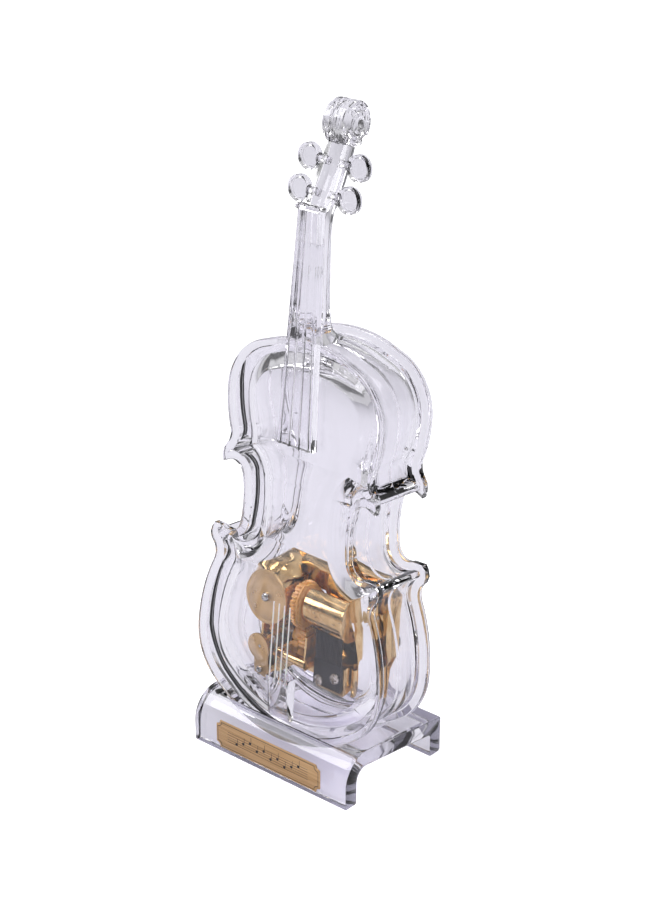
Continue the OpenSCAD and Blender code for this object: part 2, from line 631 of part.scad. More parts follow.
stand();
plaque();
front_plate();
front_rib();
back_rib();
back_plate();
neck();
fingerboard();
nut();
peg_low_left();
peg_high_left();
peg_low_right();
peg_high_right();
tailpiece();
strings();
bedplate();
spring_housing();
spring_cover();
mainspring();
great_wheel();
click();
winding_arbor();
ratchet_wheel();
winding_key();
music_cylinder();
cylinder_gear();
cylinder_shaft();
cylinder_bracket();
comb();
comb_base();
comb_screws();
governor_frame();
governor_cap();
governor_screws();
governor_shaft();
governor_pinion();
worm_wheel();
worm();
fly();
movement_screws();
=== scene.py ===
"""A violin-shaped clear music box on a bent clear stand.

The wind-up movement inside has a pinned cylinder, a steel comb and an air-brake
governor. Local sizes are in millimetres in the violin's own directions (X across, Y from
the front plate to the back, Z along the neck) and are leaned into place when a mesh is
finished.
"""

import logging
import math
from dataclasses import dataclass
from enum import Enum
from typing import Iterable, Sequence

import bmesh
import bpy
from mathutils import Matrix, Vector


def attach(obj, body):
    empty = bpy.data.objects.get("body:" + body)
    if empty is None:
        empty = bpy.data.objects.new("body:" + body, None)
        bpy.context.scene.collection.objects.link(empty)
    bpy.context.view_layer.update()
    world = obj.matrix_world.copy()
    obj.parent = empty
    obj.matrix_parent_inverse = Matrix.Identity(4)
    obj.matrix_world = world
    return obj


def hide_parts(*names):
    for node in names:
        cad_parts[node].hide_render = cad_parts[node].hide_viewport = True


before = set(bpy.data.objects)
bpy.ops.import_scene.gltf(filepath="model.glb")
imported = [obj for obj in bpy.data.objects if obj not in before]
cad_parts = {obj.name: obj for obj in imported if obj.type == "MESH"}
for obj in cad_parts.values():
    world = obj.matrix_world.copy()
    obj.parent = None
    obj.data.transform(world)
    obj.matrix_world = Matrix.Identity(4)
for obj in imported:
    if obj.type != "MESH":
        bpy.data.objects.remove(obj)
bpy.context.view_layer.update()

logging.basicConfig(level=logging.INFO, format="%(message)s")
LOG = logging.getLogger("music_box")

Point2 = tuple[float, float]
Point3 = tuple[float, float, float]

MM = 0.001
LEAN_DEG = 5.4
FOOT_MM = (0.0, -18.4, 11.0)
STANDING = Matrix.Scale(MM, 4)
LEANED = STANDING @ Matrix.Translation(FOOT_MM) @ Matrix.Rotation(-math.radians(LEAN_DEG), 4, "X")
SHARP_DEG = 32.0
MERGE_MM = 0.002


# ---------------------------------------------------------------- colours and nodes


def linear(hex_colour: str) -> tuple[float, float, float, float]:
    """Turns an sRGB colour into linear light.

    Args:
        hex_colour: a colour such as "#DEDCE6".

    Returns:
        Linear red, green, blue and an alpha of 1.
    """
    parts = [int(hex_colour[i : i + 2], 16) / 255 for i in (1, 3, 5)]
    red, green, blue = (c / 12.92 if c <= 0.04045 else ((c + 0.055) / 1.055) ** 2.4 for c in parts)
    return red, green, blue, 1.0


def add_node(
    tree: bpy.types.NodeTree, kind: str, links: dict | None = None, **settings
) -> bpy.types.Node:
    """Adds one node to a tree.

    Args:
        tree: the shader or geometry tree.
        kind: the node's type name.
        links: input name or index to an output socket to link or a plain value to set.
        **settings: the node's own properties.

    Returns:
        The new node.
    """
    node = tree.nodes.new(kind)
    for name, value in settings.items():
        setattr(node, name, value)
    for name, value in (links or {}).items():
        socket = node.inputs[name]
        if isinstance(value, bpy.types.NodeSocket):
            tree.links.new(value, socket)
        else:
            socket.default_value = value
    return node


class Axis(Enum):
    """Which way a turned or extruded piece points."""

    X = "x"
    Y = "y"
    Z = "z"

    def place(self, a: float, b: float, along: float) -> Point3:
        """Puts plane coordinates a, b and a distance along the axis into space."""
        if self is Axis.X:
            return along, a, b
        if self is Axis.Y:
            return a, along, b
        return a, b, along


# ---------------------------------------------------------------- finishes


@dataclass(frozen=True)
class Finish:
    """What every finish has: the name of a real material and its surface."""

    name: str

    def shade(self, tree: bpy.types.NodeTree) -> bpy.types.Node:
        """Builds the shader and returns the node whose first output is the surface."""
        raise NotImplementedError

    def material(self) -> bpy.types.Material:
        """Returns the Blender material, made the first time it is asked for."""
        known = bpy.data.materials.get(self.name)
        if known is not None:
            return known
        made = bpy.data.materials.new(self.name)
        made.use_nodes = True
        made.node_tree.nodes.clear()
        surface = self.shade(made.node_tree)
        add_node(made.node_tree, "ShaderNodeOutputMaterial", {"Surface": surface.outputs[0]})
        return made


def object_noise(tree: bpy.types.NodeTree, pitch_mm: Point3, detail: float) -> bpy.types.NodeSocket:
    """Noise on the piece's own coordinates.

    Args:
        tree: the shader tree.
        pitch_mm: the size of the pattern along X, Y and Z.
        detail: octaves of finer noise.

    Returns:
        The noise value's socket, from 0 to 1.
    """
    where = add_node(tree, "ShaderNodeTexCoord")
    scale = tuple(1 / (MM * pitch) for pitch in pitch_mm)
    mapped = add_node(tree, "ShaderNodeMapping", {"Vector": where.outputs["Object"], "Scale": scale})
    inputs = {"Vector": mapped.outputs[0], "Scale": 1.0, "Detail": detail}
    return add_node(tree, "ShaderNodeTexNoise", inputs).outputs[0]


def ranged(
    tree: bpy.types.NodeTree, value: bpy.types.NodeSocket, low: float, high: float
) -> bpy.types.NodeSocket:
    """Stretches a noise's middle range (0.3 to 0.7) to run from low to high."""
    inputs = {"Value": value, "From Min": 0.3, "From Max": 0.7, "To Min": low, "To Max": high}
    return add_node(tree, "ShaderNodeMapRange", inputs).outputs[0]


def by_ray(
    tree: bpy.types.NodeTree, ray: str, usual: bpy.types.Node, special: bpy.types.Node
) -> bpy.types.Node:
    """Shows one kind of ray a different shader.

    Args:
        tree: the shader tree.
        ray: the Light Path output that picks the rays, such as "Is Camera Ray".
        usual: the shader that all other rays meet.
        special: the shader that these rays meet.

    Returns:
        The node that mixes the two.
    """
    rays = add_node(tree, "ShaderNodeLightPath")
    inputs = {0: rays.outputs[ray], 1: usual.outputs[0], 2: special.outputs[0]}
    return add_node(tree, "ShaderNodeMixShader", inputs)


@dataclass(frozen=True)
class PolishedAcrylic(Finish):
    """Cast acrylic (PMMA), flame polished: clear, glossy, faintly lavender in thickness."""

    tint: str = "#FBFAFD"
    ior: float = 1.49
    flow_mm: float = 9.0
    flow_height_mm: float = 0.012
    haze_mm: float = 3.0
    haze: float = 0.03
    shadow: str = "#F4F3F8"

    def shade(self, tree: bpy.types.NodeTree) -> bpy.types.Node:
        """The soft flow marks of moulding make the reflections in the walls waver a little."""
        flow = object_noise(tree, (self.flow_mm,) * 3, 1.0)
        bump = add_node(tree, "ShaderNodeBump", {"Height": flow, "Distance": self.flow_height_mm * MM})
        haze = ranged(tree, object_noise(tree, (self.haze_mm,) * 3, 3.0), 0.0, self.haze)
        clear = add_node(
            tree,
            "ShaderNodeBsdfPrincipled",
            {
                "Base Color": linear(self.tint),
                "Roughness": haze,
                "IOR": self.ior,
                "Transmission Weight": 1.0,
                "Normal": bump.outputs[0],
            },
        )
        passed = add_node(tree, "ShaderNodeBsdfTransparent", {"Color": linear(self.shadow)})
        return by_ray(tree, "Is Shadow Ray", clear, passed)


@dataclass(frozen=True)
class Mottled(Finish):
    """A finish whose colour and gloss drift together between two tones."""

    light: str = "#FFFFFF"
    dark: str = "#E6E6E6"
    smooth: float = 0.3
    rough: float = 0.4

    def two_tone(
        self,
        tree: bpy.types.NodeTree,
        drift: bpy.types.NodeSocket,
        relief: bpy.types.NodeSocket,
        relief_mm: float,
        others: dict[str, float],
    ) -> bpy.types.Node:
        """Builds the surface.

        Args:
            tree: the shader tree.
            drift: the noise that carries the colour and the gloss.
            relief: the noise that lifts the surface.
            relief_mm: how far it lifts it.
            others: the surface's further inputs, by name.

        Returns:
            The surface's node.
        """
        colour = add_node(
            tree,
            "ShaderNodeMix",
            {0: ranged(tree, drift, 0.0, 1.0), 6: linear(self.dark), 7: linear(self.light)},
            data_type="RGBA",
        )
        bump = add_node(tree, "ShaderNodeBump", {"Height": relief, "Distance": relief_mm * MM})
        surface = {
            "Base Color": colour.outputs[2],
            "Roughness": ranged(tree, drift, self.smooth, self.rough),
            "Normal": bump.outputs[0],
        }
        return add_node(tree, "ShaderNodeBsdfPrincipled", surface | others)


@dataclass(frozen=True)
class PlatedMetal(Mottled):
    """Metal under a bright plating: clean colour, with soft waves left by the press."""

    light: str = "#EACB98"
    dark: str = "#D0A86E"
    smooth: float = 0.08
    rough: float = 0.18
    wave_mm: float = 6.0
    wave_height_mm: float = 0.02

    def shade(self, tree: bpy.types.NodeTree) -> bpy.types.Node:
        """Colour and gloss drift a little over each pressing, and the surface is not quite flat."""
        cloud = object_noise(tree, (self.wave_mm * 0.7,) * 3, 4.0)
        waves = object_noise(tree, (self.wave_mm,) * 3, 1.0)
        return self.two_tone(tree, cloud, waves, self.wave_height_mm, {"Metallic": 1.0})


@dataclass(frozen=True)
class BrushedMetal(Mottled):
    """Metal brushed or ground one way: streaks that spread the light across the grain."""

    light: str = "#DBB88C"
    dark: str = "#B28C60"
    smooth: float = 0.26
    rough: float = 0.42
    grain_mm: Point3 = (14.0, 0.2, 0.2)
    depth_mm: float = 0.01

    def shade(self, tree: bpy.types.NodeTree) -> bpy.types.Node:
        """The grain is drawn 0.2 mm apart, coarser than real brushing, so that it shows."""
        grain = object_noise(tree, self.grain_mm, 3.0)
        return self.two_tone(tree, grain, grain, self.depth_mm, {"Metallic": 1.0})


@dataclass(frozen=True)
class MouldedPlastic(Mottled):
    """Moulded or drawn nylon: satin, with a fine mottle and light let in under the skin."""

    light: str = "#E6AE5E"
    dark: str = "#CE9044"
    smooth: float = 0.28
    rough: float = 0.4
    mottle_mm: float = 1.5
    mottle_height_mm: float = 0.01
    see_in: float = 0.15
    see_in_mm: float = 1.0

    def shade(self, tree: bpy.types.NodeTree) -> bpy.types.Node:
        """The mottle of the filled resin, about the size of its flow marks."""
        mottle = object_noise(tree, (self.mottle_mm,) * 3, 3.0)
        depth = {"Subsurface Weight": self.see_in, "Subsurface Scale": self.see_in_mm * MM}
        return self.two_tone(tree, mottle, mottle, self.mottle_height_mm, depth)


# Clear as glass, with sharp edges that read dark and light
ACRYLIC = PolishedAcrylic("cast_acrylic_polished")
# Warm mirror-like gold that turns brown where it reflects the dark band of the room
GOLD = PlatedMetal("gold_plated_steel")
# The cover disc and governor plate are a browner, flatter gold
SATIN_GOLD = PlatedMetal(
    "gold_plated_steel_satin", light="#E0BC88", dark="#CBA675", smooth=0.26, rough=0.36
)
# Cool white mirror for shafts and screws
NICKEL = PlatedMetal(
    "nickel_plated_steel", light="#D2D0CC", dark="#B4B2AE", smooth=0.15, rough=0.28
)
# A paler, warmer silver than the shafts, for the screws that stand out on the dark comb
ZINC = PlatedMetal("zinc_plated_steel", light="#D6CFC8", dark="#B8B0AA", smooth=0.16, rough=0.3)
# Lengthwise brushing under lacquer, a soft sheen on the name plate
BRASS = BrushedMetal("brass_brushed_lacquered")
# Dark steel with grinding lines across the comb
COMB_STEEL = BrushedMetal(
    "hardened_steel_ground",
    light="#3A383E",
    dark="#222026",
    smooth=0.3,
    rough=0.45,
    grain_mm=(6.0, 0.25, 0.25),
)
# Dull blue-grey strip
SPRING_STEEL = BrushedMetal(
    "spring_steel_tempered",
    light="#7C7F86",
    dark="#5B5E66",
    smooth=0.3,
    rough=0.5,
    grain_mm=(0.3, 5.0, 0.3),
)
# Warm, slightly see-in amber of the gears
AMBER = MouldedPlastic("glass_filled_nylon_moulded")
# Satin white line
STRING = MouldedPlastic(
    "nylon_monofilament_drawn", light="#F6F5F3", dark="#E6E4E2", mottle_mm=3.0, see_in=0.3
)
# Black filled-in engraving on the name plate
INK = MouldedPlastic("engraving_enamel_black", light="#2B2320", dark="#1A1513", see_in=0.0)


# ---------------------------------------------------------------- mesh making


class Solid:
    """A mesh under construction, in millimetres."""

    def __init__(self) -> None:
        """Starts an empty mesh."""
        self.mesh = bmesh.new()

    def loft(self, rings: Sequence[Sequence[Point3]], capped: bool = True) -> None:
        """Skins closed rings of equal length.

        Args:
            rings: the rings, in order.
            capped: whether the first and last ring are filled.
        """
        rows = [[self.mesh.verts.new(p) for p in ring] for ring in rings]
        count = len(rows[0])
        for low, high in zip(rows, rows[1:]):
            for i in range(count):
                j = (i + 1) % count
                self.mesh.faces.new((low[i], low[j], high[j], high[i]))
        if capped:
            self.mesh.faces.new(rows[0][::-1])
            self.mesh.faces.new(rows[-1])

    def lathe(
        self, profile: Sequence[Point2], axis: Axis, centre: Point2 = (0.0, 0.0), steps: int = 64
    ) -> None:
        """Turns a profile of (radius, distance along) about an axis.

        Args:
            profile: points from one end to the other; a radius of 0 closes to a pole. A
                profile whose ends both have a radius is a tube and is joined up.
            axis: the way the axis points.
            centre: the axis's place in the plane across it.
            steps: points round each ring.
        """
        angles = [math.tau * i / steps for i in range(steps)]
        a, b = centre
        rows = []
        for radius, along in profile:
            points = [(a, b)]
            if radius > 0:
                points = [(a + radius * math.cos(t), b + radius * math.sin(t)) for t in angles]
            rows.append([self.mesh.verts.new(axis.place(*point, along)) for point in points])
        pairs = list(zip(rows, rows[1:]))
        if len(rows[0]) > 1 and len(rows[-1]) > 1:
            pairs.append((rows[-1], rows[0]))
        for low, high in pairs:
            for i in range(steps):
                j = (i + 1) % steps
                if len(low) == 1:
                    self.mesh.faces.new((low[0], high[j], high[i]))
                elif len(high) == 1:
                    self.mesh.faces.new((low[i], low[j], high[0]))
                else:
                    self.mesh.faces.new((low[i], low[j], high[j], high[i]))

    def prism(
        self, outline: Sequence[Point2], low: float, high: float, axis: Axis, soft: float = 0.0
    ) -> None:
        """Extrudes an outline, with its long edges rounded off by soft."""
        levels = [(0.0, low), (0.0, high)]
        if soft > 0:
            levels = [(soft, low), (soft * 0.3, low + soft * 0.3), (0.0, low + soft)]
            levels += [(inset, low + high - at) for inset, at in reversed(levels)]
        self.loft([[axis.place(a, b, at) for a, b in drawn_in(outline, inset)] for inset, at in levels])

    def block(self, low: Point3, high: Point3, soft: float = 0.0) -> None:
        """A box between two corners."""
        outline = [(low[0], low[1]), (high[0], low[1]), (high[0], high[1]), (low[0], high[1])]
        self.prism(outline, low[2], high[2], Axis.Z, soft)

    def mesh_data(self, name: str) -> bpy.types.Mesh:
        """Ends the construction and returns the clean mesh."""
        bmesh.ops.remove_doubles(self.mesh, verts=self.mesh.verts, dist=MERGE_MM)
        bmesh.ops.recalc_face_normals(self.mesh, faces=self.mesh.faces)
        data = bpy.data.meshes.new(name)
        self.mesh.to_mesh(data)
        self.mesh.free()
        return data


def rod(radius: float, start: float, end: float, axis: Axis, at: Point2, steps: int) -> Solid:
    """A plain round bar, such as a drill for cut_from."""
    bar = Solid()
    bar.lathe([(0, start), (radius, start), (radius, end), (0, end)], axis, at, steps)
    return bar


def drawn_in(outline: Sequence[Point2], inset: float) -> list[Point2]:
    """Moves each corner of a closed outline inwards along its mitre.

    Args:
        outline: the corners, either way round.
        inset: the distance between the old and the new sides.

    Returns:
        As many corners as were given.
    """
    if inset == 0:
        return list(outline)
    nexts = [*outline[1:], outline[0]]
    area = sum(here[0] * then[1] - then[0] * here[1] for here, then in zip(outline, nexts))
    turn = 1.0 if area > 0 else -1.0
    moved = []
    for i, here in enumerate(outline):
        point = Vector(here)
        before = (point - Vector(outline[i - 1])).normalized()
        after = (Vector(nexts[i]) - point).normalized()
        side = turn * Vector((-(before + after).y, (before + after).x))
        side.normalize()
        reach = max(0.5, side.dot(turn * Vector((-before.y, before.x))))
        moved.append(tuple(point + side * inset / reach))
    return moved


def arc(centre: Point2, radius: float, first: float, last: float, steps: int) -> list[Point2]:
    """Points on an arc, with its angles in degrees."""
    angles = [math.radians(first + (last - first) * i / steps) for i in range(steps + 1)]
    return [(centre[0] + radius * math.cos(a), centre[1] + radius * math.sin(a)) for a in angles]


def finished(
    name: str,
    solid: Solid,
    finish: Finish,
    body: str,
    nodes: Iterable[str] = (),
    place: Matrix = LEANED,
) -> bpy.types.Object:
    """Makes a built solid into a placed, dressed piece of the model.

    Args:
        name: the piece's name.
        solid: its mesh in millimetres.
        finish: its finish.
        body: the CAD body it rides on.
        nodes: the CAD nodes it stands for.
        place: the millimetre frame it was built in.

    Returns:
        The new object, at the origin.
    """
    data = solid.mesh_data(name)
    data.transform(place)
    return dressed(name, data, finish, body, nodes)


def dressed(
    name: str, data: bpy.types.Mesh, finish: Finish, body: str, nodes: Iterable[str] = ()
) -> bpy.types.Object:
    """Gives a finished mesh its object, finish, shading and place in the frame."""
    data.shade_smooth()
    data.set_sharp_from_angle(angle=math.radians(SHARP_DEG))
    data.materials.clear()
    data.materials.append(finish.material())
    piece = linked(name, data)
    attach(piece, body)
    nodes = list(nodes)
    if nodes:
        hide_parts(*nodes)
    LOG.info("%-22s %6d faces, %s", name, len(data.polygons), finish.name)
    return piece


def applied(piece: bpy.types.Object) -> bpy.types.Mesh:
    """Turns a piece with live modifiers into a plain mesh, and removes the piece."""
    bpy.context.view_layer.update()
    graph = bpy.context.evaluated_depsgraph_get()
    made = bpy.data.meshes.new_from_object(piece.evaluated_get(graph), depsgraph=graph)
    bpy.data.objects.remove(piece)
    return made


def linked(name: str, data: bpy.types.ID) -> bpy.types.Object:
    """Makes an object of a mesh, lamp or camera and puts it in the scene."""
    made = bpy.data.objects.new(name, data)
    bpy.context.scene.collection.objects.link(made)
    return made


def cut_from(solid: Solid, tools: Sequence[Solid]) -> Solid:
    """Takes the tools' shapes out of a solid.

    Args:
        solid: the solid to cut.
        tools: closed solids that stand clear of each other.

    Returns:
        The cut solid.
    """
    work = linked("work", solid.mesh_data("work"))
    helpers = [linked("tool", tool.mesh_data("tool")) for tool in tools]
    for helper in helpers:
        cut = work.modifiers.new("cut", "BOOLEAN")
        cut.operation = "DIFFERENCE"
        cut.solver = "EXACT"
        cut.object = helper
    result = applied(work)
    for helper in helpers:
        bpy.data.objects.remove(helper)
    out = Solid()
    out.mesh.from_mesh(result)
    return out


def softened(node: str, finish: Finish, body: str, soft_mm: float) -> bpy.types.Object:
    """A pressed or machined part whose CAD shape is right, with its sharp edges broken.

    Args:
        node: the CAD node to copy.
        finish: its finish.
        body: the body it rides on.
        soft_mm: the width of the broken edge, or 0 for none.

    Returns:
        The piece that stands for the node.
    """
    copy = bmesh.new()
    copy.from_mesh(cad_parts[node].data)
    bmesh.ops.remove_doubles(copy, verts=copy.verts, dist=MERGE_MM * MM)
    bmesh.ops.dissolve_limit(copy, angle_limit=math.radians(1.0), verts=copy.verts, edges=copy.edges)
    if soft_mm > 0:
        sharp = math.radians(SHARP_DEG)
        edges = [e for e in copy.edges if e.is_manifold and e.calc_face_angle(0.0) > sharp]
        bmesh.ops.bevel(
            copy,
            geom=edges,
            offset=soft_mm * MM,
            segments=2,
            profile=0.6,
            affect="EDGES",
            clamp_overlap=True,
        )
    data = bpy.data.meshes.new(node)
    copy.to_mesh(data)
    copy.free()
    return dressed(node + "_finished", data, finish, body, [node])


# ---------------------------------------------------------------- repeated shapes


class Repeat:
    """Geometry Nodes trees that repeat one small shape."""

    @staticmethod
    def start(name: str, inputs: dict[str, str]) -> tuple[bpy.types.NodeTree, bpy.types.Node]:
        """Makes an empty tree with a Geometry input and named inputs.

        Args:
            name: the tree's name.
            inputs: input name to socket type.

        Returns:
            The tree and its input node.
        """
        tree = bpy.data.node_groups.new(name, "GeometryNodeTree")
        tree.interface.new_socket(name="Geometry", in_out="INPUT", socket_type="NodeSocketGeometry")
        tree.interface.new_socket(name="Geometry", in_out="OUTPUT", socket_type="NodeSocketGeometry")
        for label, kind in inputs.items():
            tree.interface.new_socket(name=label, in_out="INPUT", socket_type=kind)
        return tree, add_node(tree, "NodeGroupInput")

    @staticmethod
    def end(tree: bpy.types.NodeTree, copies: bpy.types.NodeSocket, given: bpy.types.Node) -> None:
        """Realizes the copies and gives them their material."""
        real = add_node(tree, "GeometryNodeRealizeInstances", {0: copies})
        inputs = {"Geometry": real.outputs[0], "Material": given.outputs["Material"]}
        done = add_node(tree, "GeometryNodeSetMaterial", inputs)
        add_node(tree, "NodeGroupOutput", {0: done.outputs[0]})

    @classmethod
    def ring(cls) -> bpy.types.NodeTree:
        """The Piece, pointing along X, repeated round Z at Radius, starting at Phase."""
        tree, given = cls.start(
            "ring_of_pieces",
            {
                "Piece": "NodeSocketObject",
                "Count": "NodeSocketInt",
                "Radius": "NodeSocketFloat",
                "Phase": "NodeSocketFloat",
                "Material": "NodeSocketMaterial",
            },
        )
        size = {"Vertices": given.outputs["Count"], "Radius": given.outputs["Radius"]}
        circle = add_node(tree, "GeometryNodeMeshCircle", size)
        piece = add_node(tree, "GeometryNodeObjectInfo", {"Object": given.outputs["Piece"]})
        index = add_node(tree, "GeometryNodeInputIndex")
        share = {0: math.tau, 1: given.outputs["Count"]}
        step = add_node(tree, "ShaderNodeMath", share, operation="DIVIDE")
        place = {0: index.outputs[0], 1: step.outputs[0]}
        angle = add_node(tree, "ShaderNodeMath", place, operation="MULTIPLY")
        turn = add_node(tree, "ShaderNodeCombineXYZ", {"Z": angle.outputs[0]})
        copies = add_node(
            tree,
            "GeometryNodeInstanceOnPoints",
            {
                "Points": circle.outputs[0],
                "Instance": piece.outputs["Geometry"],
                "Rotation": turn.outputs[0],
            },
        )
        phase = add_node(tree, "ShaderNodeCombineXYZ", {"Z": given.outputs["Phase"]})
        start = {"Geometry": copies.outputs[0], "Rotation": phase.outputs[0]}
        turned = add_node(tree, "GeometryNodeTransform", start)
        cls.end(tree, turned.outputs[0], given)
        return tree

    @classmethod
    def row(cls) -> bpy.types.NodeTree:
        """The Piece repeated along X, Count times, Pitch apart."""
        tree, given = cls.start(
            "row_of_pieces",
            {
                "Piece": "NodeSocketObject",
                "Count": "NodeSocketInt",
                "Pitch": "NodeSocketVector",
                "Material": "NodeSocketMaterial",
            },
        )
        spread = {"Count": given.outputs["Count"], "Offset": given.outputs["Pitch"]}
        line = add_node(tree, "GeometryNodeMeshLine", spread)
        piece = add_node(tree, "GeometryNodeObjectInfo", {"Object": given.outputs["Piece"]})
        copies = add_node(
            tree,
            "GeometryNodeInstanceOnPoints",
            {"Points": line.outputs[0], "Instance": piece.outputs["Geometry"]},
        )
        cls.end(tree, copies.outputs[0], given)
        return tree

    @classmethod
    def studs(cls) -> bpy.types.NodeTree:
        """The Piece, pointing along Z, at each vertex of the base mesh, turned to its way."""
        inputs = {"Piece": "NodeSocketObject", "Material": "NodeSocketMaterial"}
        tree, given = cls.start("studs_on_points", inputs)
        piece = add_node(tree, "GeometryNodeObjectInfo", {"Object": given.outputs["Piece"]})
        vector = {"data_type": "FLOAT_VECTOR"}
        way = add_node(tree, "GeometryNodeInputNamedAttribute", {"Name": "way"}, **vector)
        turn = add_node(
            tree, "FunctionNodeAlignRotationToVector", {"Vector": way.outputs[0]}, axis="Z"
        )
        copies = add_node(
            tree,
            "GeometryNodeInstanceOnPoints",
            {
                "Points": given.outputs["Geometry"],
                "Instance": piece.outputs["Geometry"],
                "Rotation": turn.outputs[0],
            },
        )
        cls.end(tree, copies.outputs[0], given)
        return tree


def repeated(
    tree: bpy.types.NodeTree, base: bpy.types.Mesh, template: Solid, finish: Finish, **values
) -> bpy.types.Mesh:
    """Runs a Repeat tree and returns its plain mesh, in millimetres.

    Args:
        tree: one of Repeat's trees.
        base: the mesh the tree works on, empty where it makes its own points.
        template: the small shape to repeat.
        finish: the finish of the copies.
        **values: the tree's other inputs, by name.

    Returns:
        The mesh of all the copies.
    """
    data = bpy.data.meshes.new("template")
    bmesh.ops.recalc_face_normals(template.mesh, faces=template.mesh.faces)
    template.mesh.to_mesh(data)
    template.mesh.free()
    small = linked("template", data)
    work = linked("repeated", base)
    node = work.modifiers.new("repeat", "NODES")
    node.node_group = tree
    values.update({"Piece": small, "Material": finish.material()})
    for item in tree.interface.items_tree:
        if item.in_out == "INPUT" and item.name in values:
            node[item.identifier] = values[item.name]
    made = applied(work)
    bpy.data.objects.remove(small)
    return made


def points_mesh(places: Sequence[Point3], ways: Sequence[Point3]) -> bpy.types.Mesh:
    """Loose points, each with the direction its stud points in."""
    data = bpy.data.meshes.new("points")
    data.from_pydata(list(places), [], [])
    store = data.attributes.new("way", "FLOAT_VECTOR", "POINT")
    store.data.foreach_set("vector", [c for way in ways for c in way])
    return data


# ---------------------------------------------------------------- the violin's case


@dataclass(frozen=True)
class Bow:
    """One arc of the body's outline; side is 1 where it bulges and -1 where it is hollow."""

    centre: Point2
    radius: float
    first: float
    last: float
    steps: int
    side: int

    def at(self, inset: float, first: float, last: float) -> list[Point2]:
        """The arc drawn in by inset, between the given angles."""
        return arc(self.centre, self.radius - self.side * inset, first, last, self.steps)

    def whole(self, inset: float) -> list[Point2]:
        """The arc drawn in by inset, from its first angle to its last."""
        return self.at(inset, self.first, self.last)


@dataclass(frozen=True)
class BodyOutline:
    """The violin's outline: bouts, waist and the four corner tips, in X and Z."""

    height: float = 135.0
    lower: tuple[Bow, ...] = (
        Bow((0, 49), 49, 270, 309, 14, 1),
        Bow((17, 28), 22, 309, 360, 24, 1),
        Bow((-20, 28), 59, 0, 25, 16, 1),
        Bow((38.5, 55.3), 5.5, 205, 130, 18, -1),
    )
    lower_tip: tuple[Point2, ...] = ((35.6, 61.7), (35.0, 63.9), (33.9, 65.5))
    waist: tuple[Bow, ...] = (
        Bow((27.4, 69.3), 4.5, 300, 190.5, 24, -1),
        Bow((67.2, 76.7), 45, 190.5, 169.5, 12, -1),
        Bow((27.4, 84.1), 4.5, 169.5, 60, 24, -1),
    )
    upper_tip: tuple[Point2, ...] = ((31.4, 87.2), (31.9, 89.5), (31.6, 91.9))
    upper: tuple[Bow, ...] = (
        Bow((35.1, 97.6), 6, 220, 163, 14, -1),
        Bow((-13.6, 112.5), 45, -17, 0, 10, 1),
        Bow((11.4, 112.5), 20, 0, 65, 24, 1),
        Bow((0, 88), 47, 75, 90, 8, 1),
    )
    tip_fade: float = 4.2

    @staticmethod
    def meeting(one: Bow, two: Bow, inset: float) -> tuple[float, float]:
        """The angles, on two hollow arcs, at which they stop as the inset makes them cross."""
        first, second = one.radius + inset, two.radius + inset
        apart = Vector(two.centre) - Vector(one.centre)
        gap = apart.length
        if first + second <= gap:
            return one.last, two.first
        reach = (first**2 - second**2 + gap**2) / (2 * gap)
        heading = math.degrees(math.atan2(apart.y, apart.x))
        on_one = heading + math.degrees(math.acos(reach / first))
        on_two = heading + 180 - math.degrees(math.acos((gap - reach) / second))
        return on_one, on_two

    def corner(self, one: Bow, two: Bow, tips: Sequence[Point2], inset: float) -> list[Point2]:
        """A corner of the body: two hollow arcs and the tip between them.

        Args:
            one: the arc below the corner.
            two: the arc above it.
            tips: the points of the tip, which sink into the arcs' join as the inset grows.
            inset: how far the outline is drawn in.

        Returns:
            The corner's points, from the bottom to the top.
        """
        one_end, two_start = self.meeting(one, two, inset)
        below = one.at(inset, one.first, one_end)
        above = two.at(inset, two_start, two.last)
        rest_below = Vector(one.whole(0)[-1])
        rest_above = Vector(two.whole(0)[0])
        left = max(0.0, 1 - inset / self.tip_fade)
        middle = []
        for i, tip in enumerate(tips):
            share = (i + 1) / (len(tips) + 1)
            base = Vector(below[-1]).lerp(Vector(above[0]), share)
            stand_out = Vector(tip) - rest_below.lerp(rest_above, share)
            middle.append(tuple(base + stand_out * left))
        return below + middle + above

    def side(self, inset: float) -> list[Point2]:
        """The right-hand half, from the bottom to the top."""
        low, mid, high = self.lower, self.waist, self.upper
        points: list[Point2] = []
        for bow in low[:3]:
            points += bow.whole(inset)
        points += self.corner(low[3], mid[0], self.lower_tip, inset)
        points += mid[1].whole(inset)
        points += self.corner(mid[2], high[0], self.upper_tip, inset)
        for bow in high[1:]:
            points += bow.whole(inset)
        return points

    def ring(self, inset: float, depth: float) -> list[Point3]:
        """The whole outline drawn in by inset, at a depth behind the front plate's face."""
        right = [(max(x, 0.02), z) for x, z in self.side(inset)][1:-1]
        left = [(-x, z) for x, z in reversed(right)]
        whole = [(0.0, inset), *right, (0.0, self.height - inset), *left]
        return [(x, depth, z) for x, z in whole]


OUTLINE = BodyOutline()


